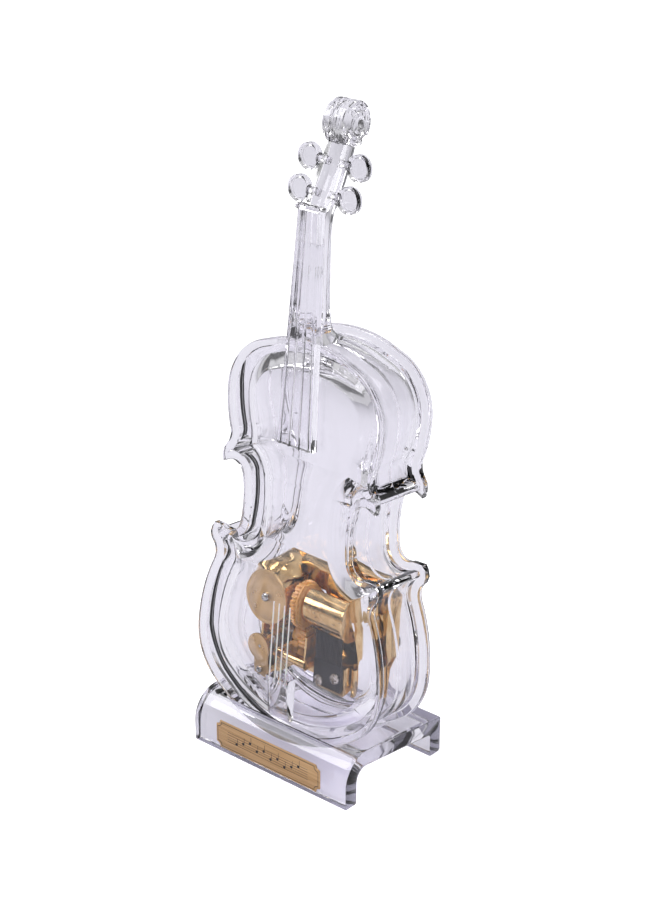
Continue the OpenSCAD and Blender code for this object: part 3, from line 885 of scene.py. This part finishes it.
@dataclass
class Case:
    """The two clear halves of the body: each a plate with a rolled rim and a rib."""

    depth: float = 26.0
    plate: float = 2.6
    rim: float = 2.8
    rib: float = 2.6
    wall: float = 2.0
    panel: float = 8.8
    drop: float = 0.8
    round_over: float = 0.7
    chamfer_front: float = 5.4
    chamfer_back: float = 1.5
    screw_holes: tuple[Point2, ...] = ((24.8, 36.0), (-22.4, 33.0), (10.0, 54.4))
    screw_hole_radius: float = 1.2
    boss_radius: float = 2.4
    boss_face: float = 22.62
    key_hole: Point2 = (-14.0, 44.4)
    key_hole_radius: float = 4.0

    def levels(self, chamfer: float) -> list[Point2]:
        """The (inset, depth) of each ring of a half, from the panel round to the inside.

        Args:
            chamfer: how far the inner corner between wall and panel is cut across.

        Returns:
            The rings' insets and depths.
        """
        soft = self.round_over
        corner = arc((soft, soft), soft, 270, 180, 5)
        under = arc((soft * 0.6, self.plate - soft * 0.6), soft * 0.6, 180, 90, 4)
        seam = self.depth / 2 - 0.03
        inside = self.drop + self.wall
        slope = [(self.panel, self.drop), (self.panel - 0.35, self.drop - 0.03)]
        slope += [(self.rim + 0.4, 0.06), (self.rim, 0.0)]
        ribs = [(self.rib - 0.25, self.plate), (self.rib, self.plate + 0.25), (self.rib, seam)]
        wall = self.rib + self.wall
        hollow = [(wall, seam), (wall, inside + chamfer + 0.3), (wall + 0.15, inside + chamfer - 0.1)]
        hollow += [(wall + chamfer - 0.1, inside + 0.15), (wall + chamfer + 0.2, inside)]
        return slope + corner + under + ribs + hollow

    def half(self, front: bool) -> Solid:
        """One half of the case."""
        solid = Solid()
        rings = []
        for inset, depth in self.levels(self.chamfer_front if front else self.chamfer_back):
            rings.append(OUTLINE.ring(inset, depth if front else self.depth - depth))
        solid.loft(rings)
        return solid

    def build(self) -> None:
        """Makes both halves, and the back's holes with a boss round each screw."""
        finished("case_front", self.half(True), ACRYLIC, "case", ["front_plate", "front_rib"])
        radius = self.screw_hole_radius
        start, end = self.depth - 6, self.depth + 2
        tools = [rod(radius, start, end, Axis.Y, at, 32) for at in self.screw_holes]
        tools.append(rod(self.key_hole_radius, start, end, Axis.Y, self.key_hole, 48))
        back = cut_from(self.half(False), tools)
        inner = self.depth - self.drop - self.wall + 0.02
        face, outer = self.boss_face, self.boss_radius
        boss = [(radius, face), (outer - 0.2, face), (outer, face + 0.18)]
        boss += [(outer, inner), (radius, inner)]
        for at in self.screw_holes:
            back.lathe(boss, Axis.Y, at, 32)
        finished("case_back", back, ACRYLIC, "case", ["back_plate", "back_rib"])


# ---------------------------------------------------------------- neck, scroll and pegs


@dataclass
class Neck:
    """The heel, neck, pegbox and scroll, moulded in one clear piece."""

    eye: Point2 = (12.3, 201.1)
    scroll_radius: float = 7.0
    scroll_half: float = 3.5
    climb: float = 0.75
    draw_in: float = 0.24
    # Height, front face, half width, depth and channel depth of each section
    sections: tuple[tuple[float, ...], ...] = (
        (135.15, -0.15, 6.8, 15.0, 0.0),
        (136.5, -0.15, 6.5, 11.8, 0.0),
        (138.5, -0.15, 6.2, 9.3, 0.0),
        (141.5, -0.15, 6.0, 7.8, 0.0),
        (146.0, -0.15, 5.8, 6.8, 0.0),
        (160.0, -0.15, 5.1, 6.0, 0.0),
        (170.0, -0.15, 4.7, 5.8, 0.0),
        (174.0, 0.1, 4.6, 6.2, 0.0),
        (176.6, 1.0, 4.8, 6.5, 0.1),
        (177.4, 1.3, 4.9, 6.6, 3.0),
        (181.0, 2.9, 4.9, 6.6, 3.4),
        (185.0, 4.7, 4.85, 6.5, 3.4),
        (189.0, 6.5, 4.6, 6.3, 2.8),
        (193.0, 8.1, 4.3, 6.0, 1.6),
        (195.0, 9.0, 4.1, 5.7, 0.9),
        (197.5, 10.0, 3.8, 5.4, 0.1),
    )

    @staticmethod
    def ring(section: Sequence[float]) -> list[Point3]:
        """A section with a flat, channelled front and a half-round back."""
        z, y, half, deep, channel = section
        inner = half * 0.5
        front = [(-half + 0.25, y), (-inner - 0.2, y), (-inner, y + channel), (inner, y + channel)]
        front += [(inner + 0.2, y), (half - 0.25, y), (half, y + 0.3)]
        back = []
        for i in range(25):
            a = math.pi * i / 24
            back.append((half * math.cos(a), y + deep * (0.35 + 0.65 * math.sin(a))))
        return [(x, depth, z) for x, depth in front + back + [(-half, y + 0.3)]]

    def ledge(self, turn: float) -> Point2:
        """The half width and outer radius of the scroll's ledge after some turns inwards."""
        outer = (self.scroll_radius - 0.45) * (1 - self.draw_in * turn)
        return self.scroll_half + self.climb * turn, outer

    def scroll_section(self, share: float) -> list[Point2]:
        """The scroll's right half at a share of a turn, as (half width, radius) from the eye out.

        The ledges climb and draw in as the share grows, so that they wind in to the eye.
        """
        points = [(6.9, 0.0), (6.85, 0.8), (6.6, 1.15)]
        for turn in (2, 1, 0):
            inner, outer = self.ledge(turn + 1 + share), self.ledge(turn + share)
            points += [(inner[0], outer[1] - 0.4), (inner[0] - 0.2, outer[1] - 0.12), outer]
        half, rim = self.ledge(share)[0], self.scroll_radius
        return points + [(half, rim - 0.3), (half - 0.3, rim), (1.3, rim), (0.7, rim - 0.7)]

    def volute(self, solid: Solid) -> None:
        """Turns the scroll: a grooved drum with a ledge that winds up each side to the eye."""
        rings = []
        steps, start_deg = 84, -62
        for i in range(steps):
            angle = math.radians(start_deg) + math.tau * i / steps
            right = self.scroll_section(i / steps)
            whole = right + [(0.0, self.scroll_radius - 0.85)] + [(-x, r) for x, r in reversed(right)]
            y, z = math.cos(angle), math.sin(angle)
            rings.append([(x, self.eye[0] + r * y, self.eye[1] + r * z) for x, r in whole])
        solid.loft(rings + rings[:1], capped=False)

    def build(self) -> None:
        """Makes the neck with its scroll."""
        solid = Solid()
        solid.loft([self.ring(section) for section in self.sections])
        self.volute(solid)
        finished("neck_and_scroll", solid, ACRYLIC, "case", ["neck"])


@dataclass
class Fingerboard:
    """The fingerboard with its four raised strings, and the nut at its top."""

    low: float = 101.3
    high: float = 175.9
    width_low: float = 14.6
    width_high: float = 8.8
    face: float = -2.6
    underside: float = -0.15
    ridge: float = 0.6
    nut_face: float = -3.5
    nut_height: float = 1.6

    def ring(self, share: float) -> list[Point3]:
        """A section with four ridges across its front face."""
        half = (self.width_low + (self.width_high - self.width_low) * share) / 2
        z = self.low + (self.high - self.low) * share
        face = self.face
        front: list[Point2] = [(-half, face + 0.4), (-half + 0.4, face)]
        for i in (-1.5, -0.5, 0.5, 1.5):
            front += arc((i * half * 0.52, face), self.ridge, 180, 360, 6)
        front += [(half - 0.4, face), (half, face + 0.4)]
        front += [(half, self.underside), (-half, self.underside)]
        return [(x, y, z) for x, y in front]

    def build(self) -> None:
        """Makes the board and the nut."""
        board = Solid()
        board.loft([self.ring(i / 12) for i in range(13)])
        finished("fingerboard_ridged", board, ACRYLIC, "case", ["fingerboard"])
        nut = Solid()
        half = self.width_high / 2 + 0.3
        low = self.high + 0.1
        high = low + self.nut_height
        outline = [(-half, low), (half, low), (half, high), (-half, high)]
        nut.prism(outline, self.nut_face, self.underside, Axis.Y, 0.3)
        finished("string_nut", nut, ACRYLIC, "case", ["nut"])


@dataclass
class Peg:
    """One tuning peg: a coin-shaped head with a raised rim, on a short tapered shank."""

    name: str
    at: Point2
    side: int
    out: float = 10.1
    head: float = 4.2
    thick: float = 2.6
    dish: float = 0.3
    rim: float = 0.9

    def build(self) -> None:
        """Makes the peg."""
        y = self.at[0] + 0.6
        half, r = self.thick / 2, self.head
        inside = r - self.rim
        face = [(0.0, self.dish), (inside - 0.25, self.dish), (inside, 0.0), (r - 0.25, 0.0), (r, 0.3)]
        profile = [(a, y - half + b) for a, b in face]
        profile += [(a, y + half - b) for a, b in reversed(face)]
        solid = Solid()
        solid.lathe(profile, Axis.Y, (self.side * self.out, self.at[1]), 48)
        start, end = 2.6, self.out - self.head + 0.6
        shank = [(0, start), (1.25, start), (1.3, end - 1.6), (1.55, end - 0.6), (1.65, end), (0, end)]
        shank = [(radius, self.side * x) for radius, x in shank]
        solid.lathe(shank, Axis.X, (y, self.at[1]), 32)
        finished(f"{self.name}_clear", solid, ACRYLIC, "case", [self.name])


@dataclass
class StringHolder:
    """The wedge-shaped tailpiece and the four nylon strings it holds."""

    low: float = 7.4
    high: float = 22.8
    half: float = 4.45
    pitch: float = 2.27
    string: float = 0.24
    string_top: float = 48.5
    string_depth: float = -3.2
    held: float = 1.9

    def build(self) -> None:
        """Makes the tailpiece and the strings."""
        wedge = Solid()
        toe, top = self.low, self.high
        outline = [(0.5, toe), (-0.9, toe), (-1.6, toe + 1), (-4.2, top), (0.75, top), (0.75, toe + 2)]
        wedge.prism(outline, -self.half, self.half, Axis.X, 0.35)
        finished("tailpiece_wedge", wedge, ACRYLIC, "case", ["tailpiece"])
        line = Solid()
        r, end = self.string, self.string_top
        base = self.high - self.held
        profile = [(0, base), (r, base), (r, end - r), (r * 0.7, end - r * 0.3), (0, end)]
        line.lathe(profile, Axis.Z, steps=16)
        pitch = (self.pitch, 0.0, 0.0)
        empty = bpy.data.meshes.new("strings")
        data = repeated(Repeat.row(), empty, line, STRING, Count=4, Pitch=pitch)
        data.transform(LEANED @ Matrix.Translation((-1.5 * self.pitch, self.string_depth, 0)))
        dressed("four_strings", data, STRING, "case", ["strings"])


# ---------------------------------------------------------------- the stand


@dataclass
class Stand:
    """The bent clear sheet that cradles the body, and its engraved name plate."""

    width: float = 66.0
    depth: float = 48.4
    sheet: float = 5.6
    bend: float = 10.0
    # The top falls from front_height, this far in front of the middle, to back_height
    crest: float = 12.0
    front_height: float = 17.6
    back_height: float = 13.3
    plate_width: float = 45.0
    plate_height: float = 10.0
    plate_thick: float = 0.5
    notch: float = 1.6
    stave_half: float = 17.5
    stave_gap: float = 0.9
    line_half: float = 0.06
    note: float = 0.52

    def slope(self) -> float:
        """The top's fall to the back, in degrees."""
        fall = (self.front_height - self.back_height) / (self.depth / 2 + self.crest)
        return math.degrees(math.atan(fall))

    def top(self, y: float) -> float:
        """The height of the top's upper face."""
        return self.front_height - (y + self.crest) * math.tan(math.radians(self.slope()))

    def bend_centre(self) -> Point2:
        """The middle of the front bend, in Y and Z."""
        y = -self.depth / 2 + self.bend
        return y, self.top(y) - self.bend / math.cos(math.radians(self.slope()))

    def profile(self) -> list[Point2]:
        """The stand's section in Y and Z, with the lower corners rounded."""
        centre = self.bend_centre()
        back = self.depth / 2
        foot, inner_bend = 0.8, 1.0
        corner = back - self.sheet - inner_bend
        under = self.sheet / math.cos(math.radians(self.slope())) + inner_bend
        points = arc((-back + foot, foot), foot, 270, 180, 6)
        points += arc(centre, self.bend, 180, 90 - self.slope(), 30)
        points += arc((back - foot, self.top(back) - foot - 0.1), foot, 85, 0, 6)
        points += arc((back - foot, foot), foot, 0, -90, 6)
        points += arc((back - self.sheet + foot, foot), foot, 270, 180, 6)
        points += arc((corner, self.top(corner) - under), inner_bend, 0, 80, 6)
        points += arc(centre, self.bend - self.sheet, 90 - self.slope(), 180, 16)
        points += arc((self.sheet - back - foot, foot), foot, 0, -90, 6)
        return points

    def build(self) -> None:
        """Makes the stand and its plate."""
        sheet = Solid()
        # Many stations, so that the cut below leaves no long thin faces
        half, soft, steps = self.width / 2, 0.4, 44
        levels = [(soft, -half), (soft * 0.3, -half + soft * 0.3)]
        levels += [(0.0, (half - soft) * (2 * i / steps - 1)) for i in range(steps + 1)]
        levels += [(soft * 0.3, half - soft * 0.3), (soft, half)]
        profile = self.profile()
        sheet.loft([[(x, y, z) for y, z in drawn_in(profile, inset)] for inset, x in levels])
        body = Solid()
        clear, beyond = 0.15, 0.2
        ends = (-beyond, Case.depth + beyond)
        body.loft([OUTLINE.ring(-clear, end) for end in ends])
        body.mesh.transform(STANDING.inverted() @ LEANED)
        finished("stand_bent_sheet", cut_from(sheet, [body]), ACRYLIC, "case", ["stand"], STANDING)
        self.build_plate()

    def plate_outline(self, inset: float, notch: float) -> list[Point2]:
        """The plate's outline in X and Z, with hollow corners."""
        half_w = self.plate_width / 2 - inset
        half_h = self.plate_height / 2 - inset
        points: list[Point2] = []
        for sx, sz, start in ((1, -1, 180), (1, 1, 270), (-1, 1, 0), (-1, -1, 90)):
            points += arc((sx * half_w, sz * half_h), notch, start, start - 90, 10)
        return points

    def build_plate(self) -> None:
        """Makes the plate, its border line and a generic stave with notes."""
        face = -self.depth / 2
        plate = Solid()
        plate.prism(self.plate_outline(0, self.notch), face - self.plate_thick, face, Axis.Y, 0.12)
        centre = self.bend_centre()[1] - 0.4
        lift = STANDING @ Matrix.Translation((0, 0, centre))
        finished("name_plate", plate, BRASS, "case", ["plaque"], lift)
        ink = Solid()
        front = face - self.plate_thick
        line, dot, deep = front - 0.02, front - 0.03, front + 0.05
        outer, inner = (self.plate_outline(inset, self.notch + 0.1) for inset in (0.55, 0.72))
        border = ((outer, line), (inner, line), (inner, deep), (outer, deep), (outer, line))
        ink.loft([[Axis.Y.place(a, b, y) for a, b in ring] for ring, y in border], capped=False)
        half, thin, r = self.stave_half, self.line_half, self.note
        for i in range(5):
            z = (i - 2) * self.stave_gap
            ink.block((-half, line, z - thin), (half, deep, z + thin))
        for i in range(10):
            x = (i - 4.5) * 3.0
            z = (((i * 3) % 7) - 3) * self.stave_gap / 2
            ink.lathe([(0, dot), (r, dot), (r, deep), (0, deep)], Axis.Y, (x, z), 20)
            ink.block((x + r - 0.14, dot, z), (x + r, deep, z + 2.4))
        finished("plate_engraving", ink, INK, "case", (), lift)


# ---------------------------------------------------------------- the movement


@dataclass
class Gear:
    """A toothed wheel: a turned blank with a ring of tapered teeth."""

    count: int
    root: float
    tip: float
    root_width: float
    tip_width: float
    low: float
    high: float
    phase: float

    def teeth(self, finish: Finish) -> bpy.types.Mesh:
        """The ring of teeth about Z, with the wheel's thickness along Z."""
        tooth = Solid()
        sink, soft = 0.3, 0.08
        height = self.tip - self.root
        wide, narrow = self.root_width / 2, self.tip_width / 2
        low, high = self.low, self.high
        rings = []
        for reach, half in (
            (-sink, wide),
            (0.0, wide),
            (height - soft, narrow + 0.03),
            (height, narrow - 0.04),
        ):
            corners = ((-half, low), (half, low), (half, high), (-half, high))
            rings.append([(reach, y, z) for y, z in corners])
        tooth.loft(rings)
        phase = math.radians(self.phase)
        empty = bpy.data.meshes.new("teeth")
        values = {"Count": self.count, "Radius": self.root, "Phase": phase}
        return repeated(Repeat.ring(), empty, tooth, finish, **values)


def along_x(centre: Point2) -> Matrix:
    """Lays a wheel built about Z along X at [y, z]: its X becomes Y and its Y becomes Z."""
    turn = Matrix(((0, 0, 1, 0), (1, 0, 0, 0), (0, 1, 0, 0), (0, 0, 0, 1)))
    return Matrix.Translation((0, centre[0], centre[1])) @ turn


def joined(solid: Solid, extra: bpy.types.Mesh, place: Matrix) -> None:
    """Adds a plain mesh, moved by place, to a solid."""
    extra.transform(place)
    solid.mesh.from_mesh(extra)
    bpy.data.meshes.remove(extra)


@dataclass
class Movement:
    """The wind-up movement: spring drum, cylinder, comb and governor on one bedplate."""

    drum: Point2 = (-14.0, 44.4)
    cylinder_axis: Point2 = (13.3, 44.4)
    cylinder_radius: float = 6.4
    cylinder_low: float = 0.2
    cylinder_high: float = 17.7
    notes: int = 18
    comb_low: float = 5.4
    comb_high: float = 17.4
    comb_screws: tuple[Point2, ...] = ((7.9, 20.5), (14.9, 23.2))
    comb_face: float = 10.0
    crown_plane: float = -2.5167
    gear_radius: float = 9.0
    spur_teeth: int = 42
    crown_teeth: int = 18
    crown_radius: float = 5.4

    def build(self) -> None:
        """Makes each group of pieces in turn."""
        self.build_frame()
        self.build_spring()
        self.build_cylinder()
        self.build_comb()
        self.build_governor()

    def build_frame(self) -> None:
        """The pressed bedplate and what is riveted to it."""
        softened("bedplate", GOLD, "case", 0.45)
        softened("cylinder_bracket", GOLD, "case", 0.15)
        softened("comb_base", GOLD, "case", 0.25)
        softened("governor_frame", GOLD, "case", 0.15)
        softened("movement_screws", NICKEL, "case", 0.08)

    def build_spring(self) -> None:
        """The spring drum with its cover, the great wheel, ratchet and winding key."""
        softened("spring_housing", GOLD, "case", 0.3)
        cover = Solid()
        profile = [(1.56, 5.1), (1.75, 5.0), (7.7, 5.0), (7.9, 5.12), (8.2, 5.12), (8.45, 5.0)]
        profile += [(8.95, 5.0), (9.22, 5.12), (9.3, 5.35), (9.3, 5.78), (1.56, 5.78)]
        cover.lathe(profile, Axis.Y, self.drum, 96)
        finished("cover_disc", cover, SATIN_GOLD, "case", ["spring_cover"])
        softened("mainspring", SPRING_STEEL, "case", 0.0)
        softened("great_wheel", AMBER, "great", 0.0)
        softened("click", SPRING_STEEL, "great", 0.0)
        softened("ratchet_wheel", NICKEL, "winder", 0.0)
        arbor = Solid()
        profile = [(0, 4.02), (0.55, 4.08), (1.0, 4.25), (1.35, 4.52)]
        profile += [(1.5, 4.8), (1.5, 30.2), (0, 30.2)]
        arbor.lathe(profile, Axis.Y, self.drum, 40)
        finished("arbor_with_dome", arbor, NICKEL, "winder", ["winding_arbor"])
        softened("winding_key", GOLD, "winder", 0.35)

    def build_cylinder(self) -> None:
        """The tuned cylinder, its amber gear and its shaft."""
        drum = Solid()
        r, low, high = self.cylinder_radius, self.cylinder_low, self.cylinder_high
        profile = [(r - 0.7, low), (r - 0.1, low), (r, low + 0.1), (r, high - 0.25), (r - 0.25, high)]
        profile += [(0.82, high), (0.82, high - 0.7), (r - 0.7, high - 0.7)]
        drum.lathe(profile, Axis.X, self.cylinder_axis, 96)
        finished("tuned_cylinder", drum, GOLD, "cylinder", ["music_cylinder"])
        dressed("cylinder_pins", self.pins(), NICKEL, "cylinder")
        gear = Solid()
        plane = self.crown_plane
        g = self.gear_radius
        root = g - 0.42
        profile = [(4.8, plane - 0.02), (g - 0.5, plane), (root, plane + 0.08), (root, -0.88)]
        profile += [(g - 0.5, -0.8), (g - 0.6, -0.75), (g - 0.6, -0.2), (g - 0.75, -0.1)]
        profile += [(g - 1.4, -0.1), (g - 1.4, 0.15), (0.83, 0.15), (0.83, plane + 0.8)]
        profile.append((4.8, plane + 0.8))
        gear.lathe(profile, Axis.X, self.cylinder_axis, 84)
        count = self.spur_teeth
        spur = Gear(count, root, g + 0.3, 0.62, 0.3, plane, -0.8, -90 - 180 / count)
        joined(gear, spur.teeth(AMBER), along_x(self.cylinder_axis))
        joined(gear, self.crown(), along_x(self.cylinder_axis))
        finished("cylinder_gear_toothed", gear, AMBER, "cylinder", ["cylinder_gear"])
        softened("cylinder_shaft", NICKEL, "cylinder", 0.1)

    def crown(self) -> bpy.types.Mesh:
        """The face teeth that the great wheel drives, about Z."""
        tooth = Solid()
        low, high = self.crown_plane - 1.0, self.crown_plane + 0.1
        tooth.block((0.0, -0.4, low), (2.5, 0.4, high), 0.06)
        count = self.crown_teeth
        values = {"Count": count, "Radius": self.crown_radius, "Phase": math.pi / count}
        return repeated(Repeat.ring(), bpy.data.meshes.new("crown"), tooth, AMBER, **values)

    def pins(self) -> bpy.types.Mesh:
        """The tune's pins, four for each note, on thirty lines round the cylinder."""
        lines, per_note = 30, 4
        pitch = (self.comb_high - self.comb_low) / self.notes
        reach = self.cylinder_radius - 0.3
        y, z = self.cylinder_axis
        places, ways = [], []
        for note in range(self.notes):
            x = self.comb_low + (note + 0.5) * pitch
            for k in range(per_note):
                angle = math.tau * ((note * 7 + k * (note % 3 + 6)) % lines) / lines
                way = (0.0, -math.sin(angle), math.cos(angle))
                places.append((x, y + reach * way[1], z + reach * way[2]))
                ways.append(way)
        pin = Solid()
        pin.lathe([(0, 0), (0.17, 0), (0.17, 0.62), (0.1, 0.7), (0, 0.7)], Axis.Z, steps=8)
        data = repeated(Repeat.studs(), points_mesh(places, ways), pin, NICKEL)
        data.transform(LEANED)
        return data

    def build_comb(self) -> None:
        """The comb: a ground steel plate with a row of tapered teeth."""
        low, high, face = self.comb_low, self.comb_high, self.comb_face
        base, root, top = 18.4, 27.0, 37.9
        plate = Solid()
        plate.block((low, face, base), (high, face + 2.0, root + 0.8), 0.15)
        holes = [rod(1.1, face - 1, face + 3, Axis.Y, at, 32) for at in self.comb_screws]
        plate = cut_from(plate, holes)
        pitch = (high - low) / self.notes
        tooth = Solid()
        wide, narrow = pitch / 2 - 0.1, pitch / 2 - 0.13
        rings = []
        for z, half, front, back in (
            (root - 0.5, wide, face + 0.05, face + 0.95),
            (root + 0.8, wide, face, face + 0.9),
            (top - 2.0, wide, face, face + 0.9),
            (top - 0.12, narrow, face + 0.05, face + 0.8),
            (top, narrow - 0.06, face + 0.12, face + 0.74),
        ):
            rings.append([(-half, front, z), (half, front, z), (half, back, z), (-half, back, z)])
        tooth.loft(rings)
        empty = bpy.data.meshes.new("teeth")
        values = {"Count": self.notes, "Pitch": (pitch, 0.0, 0.0)}
        teeth = repeated(Repeat.row(), empty, tooth, COMB_STEEL, **values)
        joined(plate, teeth, Matrix.Translation((low + pitch / 2, 0, 0)))
        finished("comb_plate_and_teeth", plate, COMB_STEEL, "case", ["comb"])
        self.build_screws()

    def build_screws(self) -> None:
        """The cross-slotted screws of the comb."""
        head = Solid()
        profile = [(0, -5.6), (1.0, -5.6), (1.0, 0), (1.95, 0)]
        profile += [(1.95, 0.45), (1.7, 0.85), (1.2, 1.05), (0, 1.1)]
        head.lathe(profile, Axis.Z, steps=40)
        slots = []
        for wide, tall in ((1.4, 0.4), (0.4, 1.4)):
            slot = Solid()
            slot.block((-wide, -tall, 0.1), (wide, tall, 2.0))
            slots.append(slot)
        screw = cut_from(head, slots)
        face = self.comb_face - 0.01
        places = [(x, face, z) for x, z in self.comb_screws]
        data = repeated(Repeat.studs(), points_mesh(places, [(0, -1, 0)] * 2), screw, ZINC)
        data.transform(LEANED)
        dressed("comb_screw_pair", data, ZINC, "case", ["comb_screws"])

    def build_governor(self) -> None:
        """The air-brake governor: pinion, worm wheel, worm and fly."""
        softened("governor_cap", SATIN_GOLD, "case", 0.12)
        softened("governor_screws", NICKEL, "case", 0.05)
        softened("governor_shaft", NICKEL, "governor", 0.0)
        softened("governor_pinion", AMBER, "governor", 0.0)
        softened("worm_wheel", AMBER, "governor", 0.0)
        softened("worm", NICKEL, "fly_shaft", 0.0)
        softened("fly", AMBER, "fly_shaft", 0.05)


# ---------------------------------------------------------------- room, light and camera


@dataclass
class Studio:
    """A pale floor, a soft white room with a dark band round it, and the camera."""

    target: Point3 = (0.0043, 0.0, 0.1086)
    azimuth: float = 40.7
    elevation: float = 23.9
    distance: float = 0.667
    sensor: float = 24.0
    lens: float = 57.1
    roll: float = 0.27
    shift: Point2 = (0.0019, 0.0002)
    board: str = "#DEDDE4"
    board_ior: float = 1.3
    room: float = 0.64
    backlit: float = 0.45
    # Height of a direction, from 0 level to 1 straight up, and the room's brightness there
    bands: tuple[Point2, ...] = ((0.12, 0.85), (0.18, 0.16), (0.4, 0.16), (0.48, 1.0))

    def build(self) -> None:
        """Makes the floor, the light and the camera."""
        self.build_floor()
        self.build_light()
        self.build_camera()

    def build_floor(self) -> None:
        """A large pale sweep under the object: clean white, and a cooler grey in the glass."""
        data = bpy.data.meshes.new("floor")
        corners = [(-6, -6, 0), (6, -6, 0), (6, 6, 0), (-6, 6, 0)]
        data.from_pydata(corners, [], [(0, 1, 2, 3)])
        floor = linked("floor", data)
        made = bpy.data.materials.new("painted_board_matt_white")
        made.use_nodes = True
        tree = made.node_tree
        tree.nodes.clear()
        rough = ranged(tree, object_noise(tree, (40.0, 40.0, 40.0), 2.0), 0.85, 0.95)
        paint = {"Roughness": rough, "IOR": self.board_ior}
        glow = {"Emission Color": linear("#FFFFFF"), "Emission Strength": self.backlit}
        white = {"Base Color": linear("#FAFAFC")} | paint | glow
        seen = add_node(tree, "ShaderNodeBsdfPrincipled", white)
        grey = {"Base Color": linear(self.board)} | paint
        lit = add_node(tree, "ShaderNodeBsdfPrincipled", grey)
        shader = by_ray(tree, "Is Camera Ray", lit, seen)
        add_node(tree, "ShaderNodeOutputMaterial", {"Surface": shader.outputs[0]})
        data.materials.append(made)

    def build_light(self) -> None:
        """A white room with a dark band above its horizon, and two large soft lamps.

        The band gives the glass and the gold their dark lines. The camera itself sees only
        white.
        """
        world = bpy.data.worlds.new("studio")
        bpy.context.scene.world = world
        world.use_nodes = True
        tree = world.node_tree
        tree.nodes.clear()
        where = add_node(tree, "ShaderNodeTexCoord")
        split = add_node(tree, "ShaderNodeSeparateXYZ", {0: where.outputs["Generated"]})
        height = add_node(tree, "ShaderNodeValToRGB", {0: split.outputs["Z"]})
        stops = height.color_ramp.elements
        stops[0].position = 0.02
        stops[0].color = (0.9, 0.9, 0.92, 1)
        stops[1].position = 1.0
        stops[1].color = (1.0, 1.0, 1.0, 1)
        for place, level in self.bands:
            stops.new(place).color = (level, level, level * 1.02, 1)
        room = {"Color": height.outputs[0], "Strength": self.room}
        lit = add_node(tree, "ShaderNodeBackground", room)
        seen = add_node(tree, "ShaderNodeBackground", {"Color": linear("#FFFFFF")})
        mixed = by_ray(tree, "Is Camera Ray", lit, seen)
        add_node(tree, "ShaderNodeOutputWorld", {"Surface": mixed.outputs[0]})
        self.lamp("soft_left", (-0.9, -0.7, 1.1), 0.9, 12.0)
        self.lamp("soft_top", (0.5, 0.3, 1.5), 1.0, 10.0)

    def lamp(self, name: str, place: Point3, size: float, power: float) -> None:
        """One large soft lamp, aimed at the object."""
        data = bpy.data.lights.new(name, "AREA")
        data.shape = "SQUARE"
        data.size = size
        data.energy = power
        lamp = linked(name, data)
        lamp.location = place
        aim = Vector(self.target) - Vector(place)
        lamp.rotation_euler = aim.to_track_quat("-Z", "Y").to_euler()

    def build_camera(self) -> None:
        """A long lens, a little above and to the right of the front."""
        data = bpy.data.cameras.new("camera")
        data.sensor_fit = "VERTICAL"
        data.sensor_height = self.sensor
        data.lens = self.lens
        data.shift_x, data.shift_y = self.shift
        data.clip_start = 0.01
        camera = linked("camera", data)
        az, el = math.radians(self.azimuth), math.radians(self.elevation)
        away = Vector((math.sin(az) * math.cos(el), -math.cos(az) * math.cos(el), math.sin(el)))
        camera.location = Vector(self.target) + away * self.distance
        roll = Matrix.Rotation(math.radians(self.roll), 4, "Z").to_quaternion()
        turn = (-away).to_track_quat("-Z", "Y") @ roll
        camera.rotation_euler = turn.to_euler()
        bpy.context.scene.camera = camera
        bpy.context.scene.view_settings.view_transform = "Standard"


PEGS = (
    Peg("peg_low_left", (4.1, 180.1), -1),
    Peg("peg_high_left", (7.8, 189.4), -1),
    Peg("peg_low_right", (4.0, 180.0), 1, 9.4),
    Peg("peg_high_right", (7.6, 189.2), 1, 9.4),
)


def main() -> None:
    """Builds the room and then every part of the music box."""
    Studio().build()
    Stand().build()
    Case().build()
    Neck().build()
    Fingerboard().build()
    for peg in PEGS:
        peg.build()
    StringHolder().build()
    Movement().build()


if __name__ == "__main__":
    main()
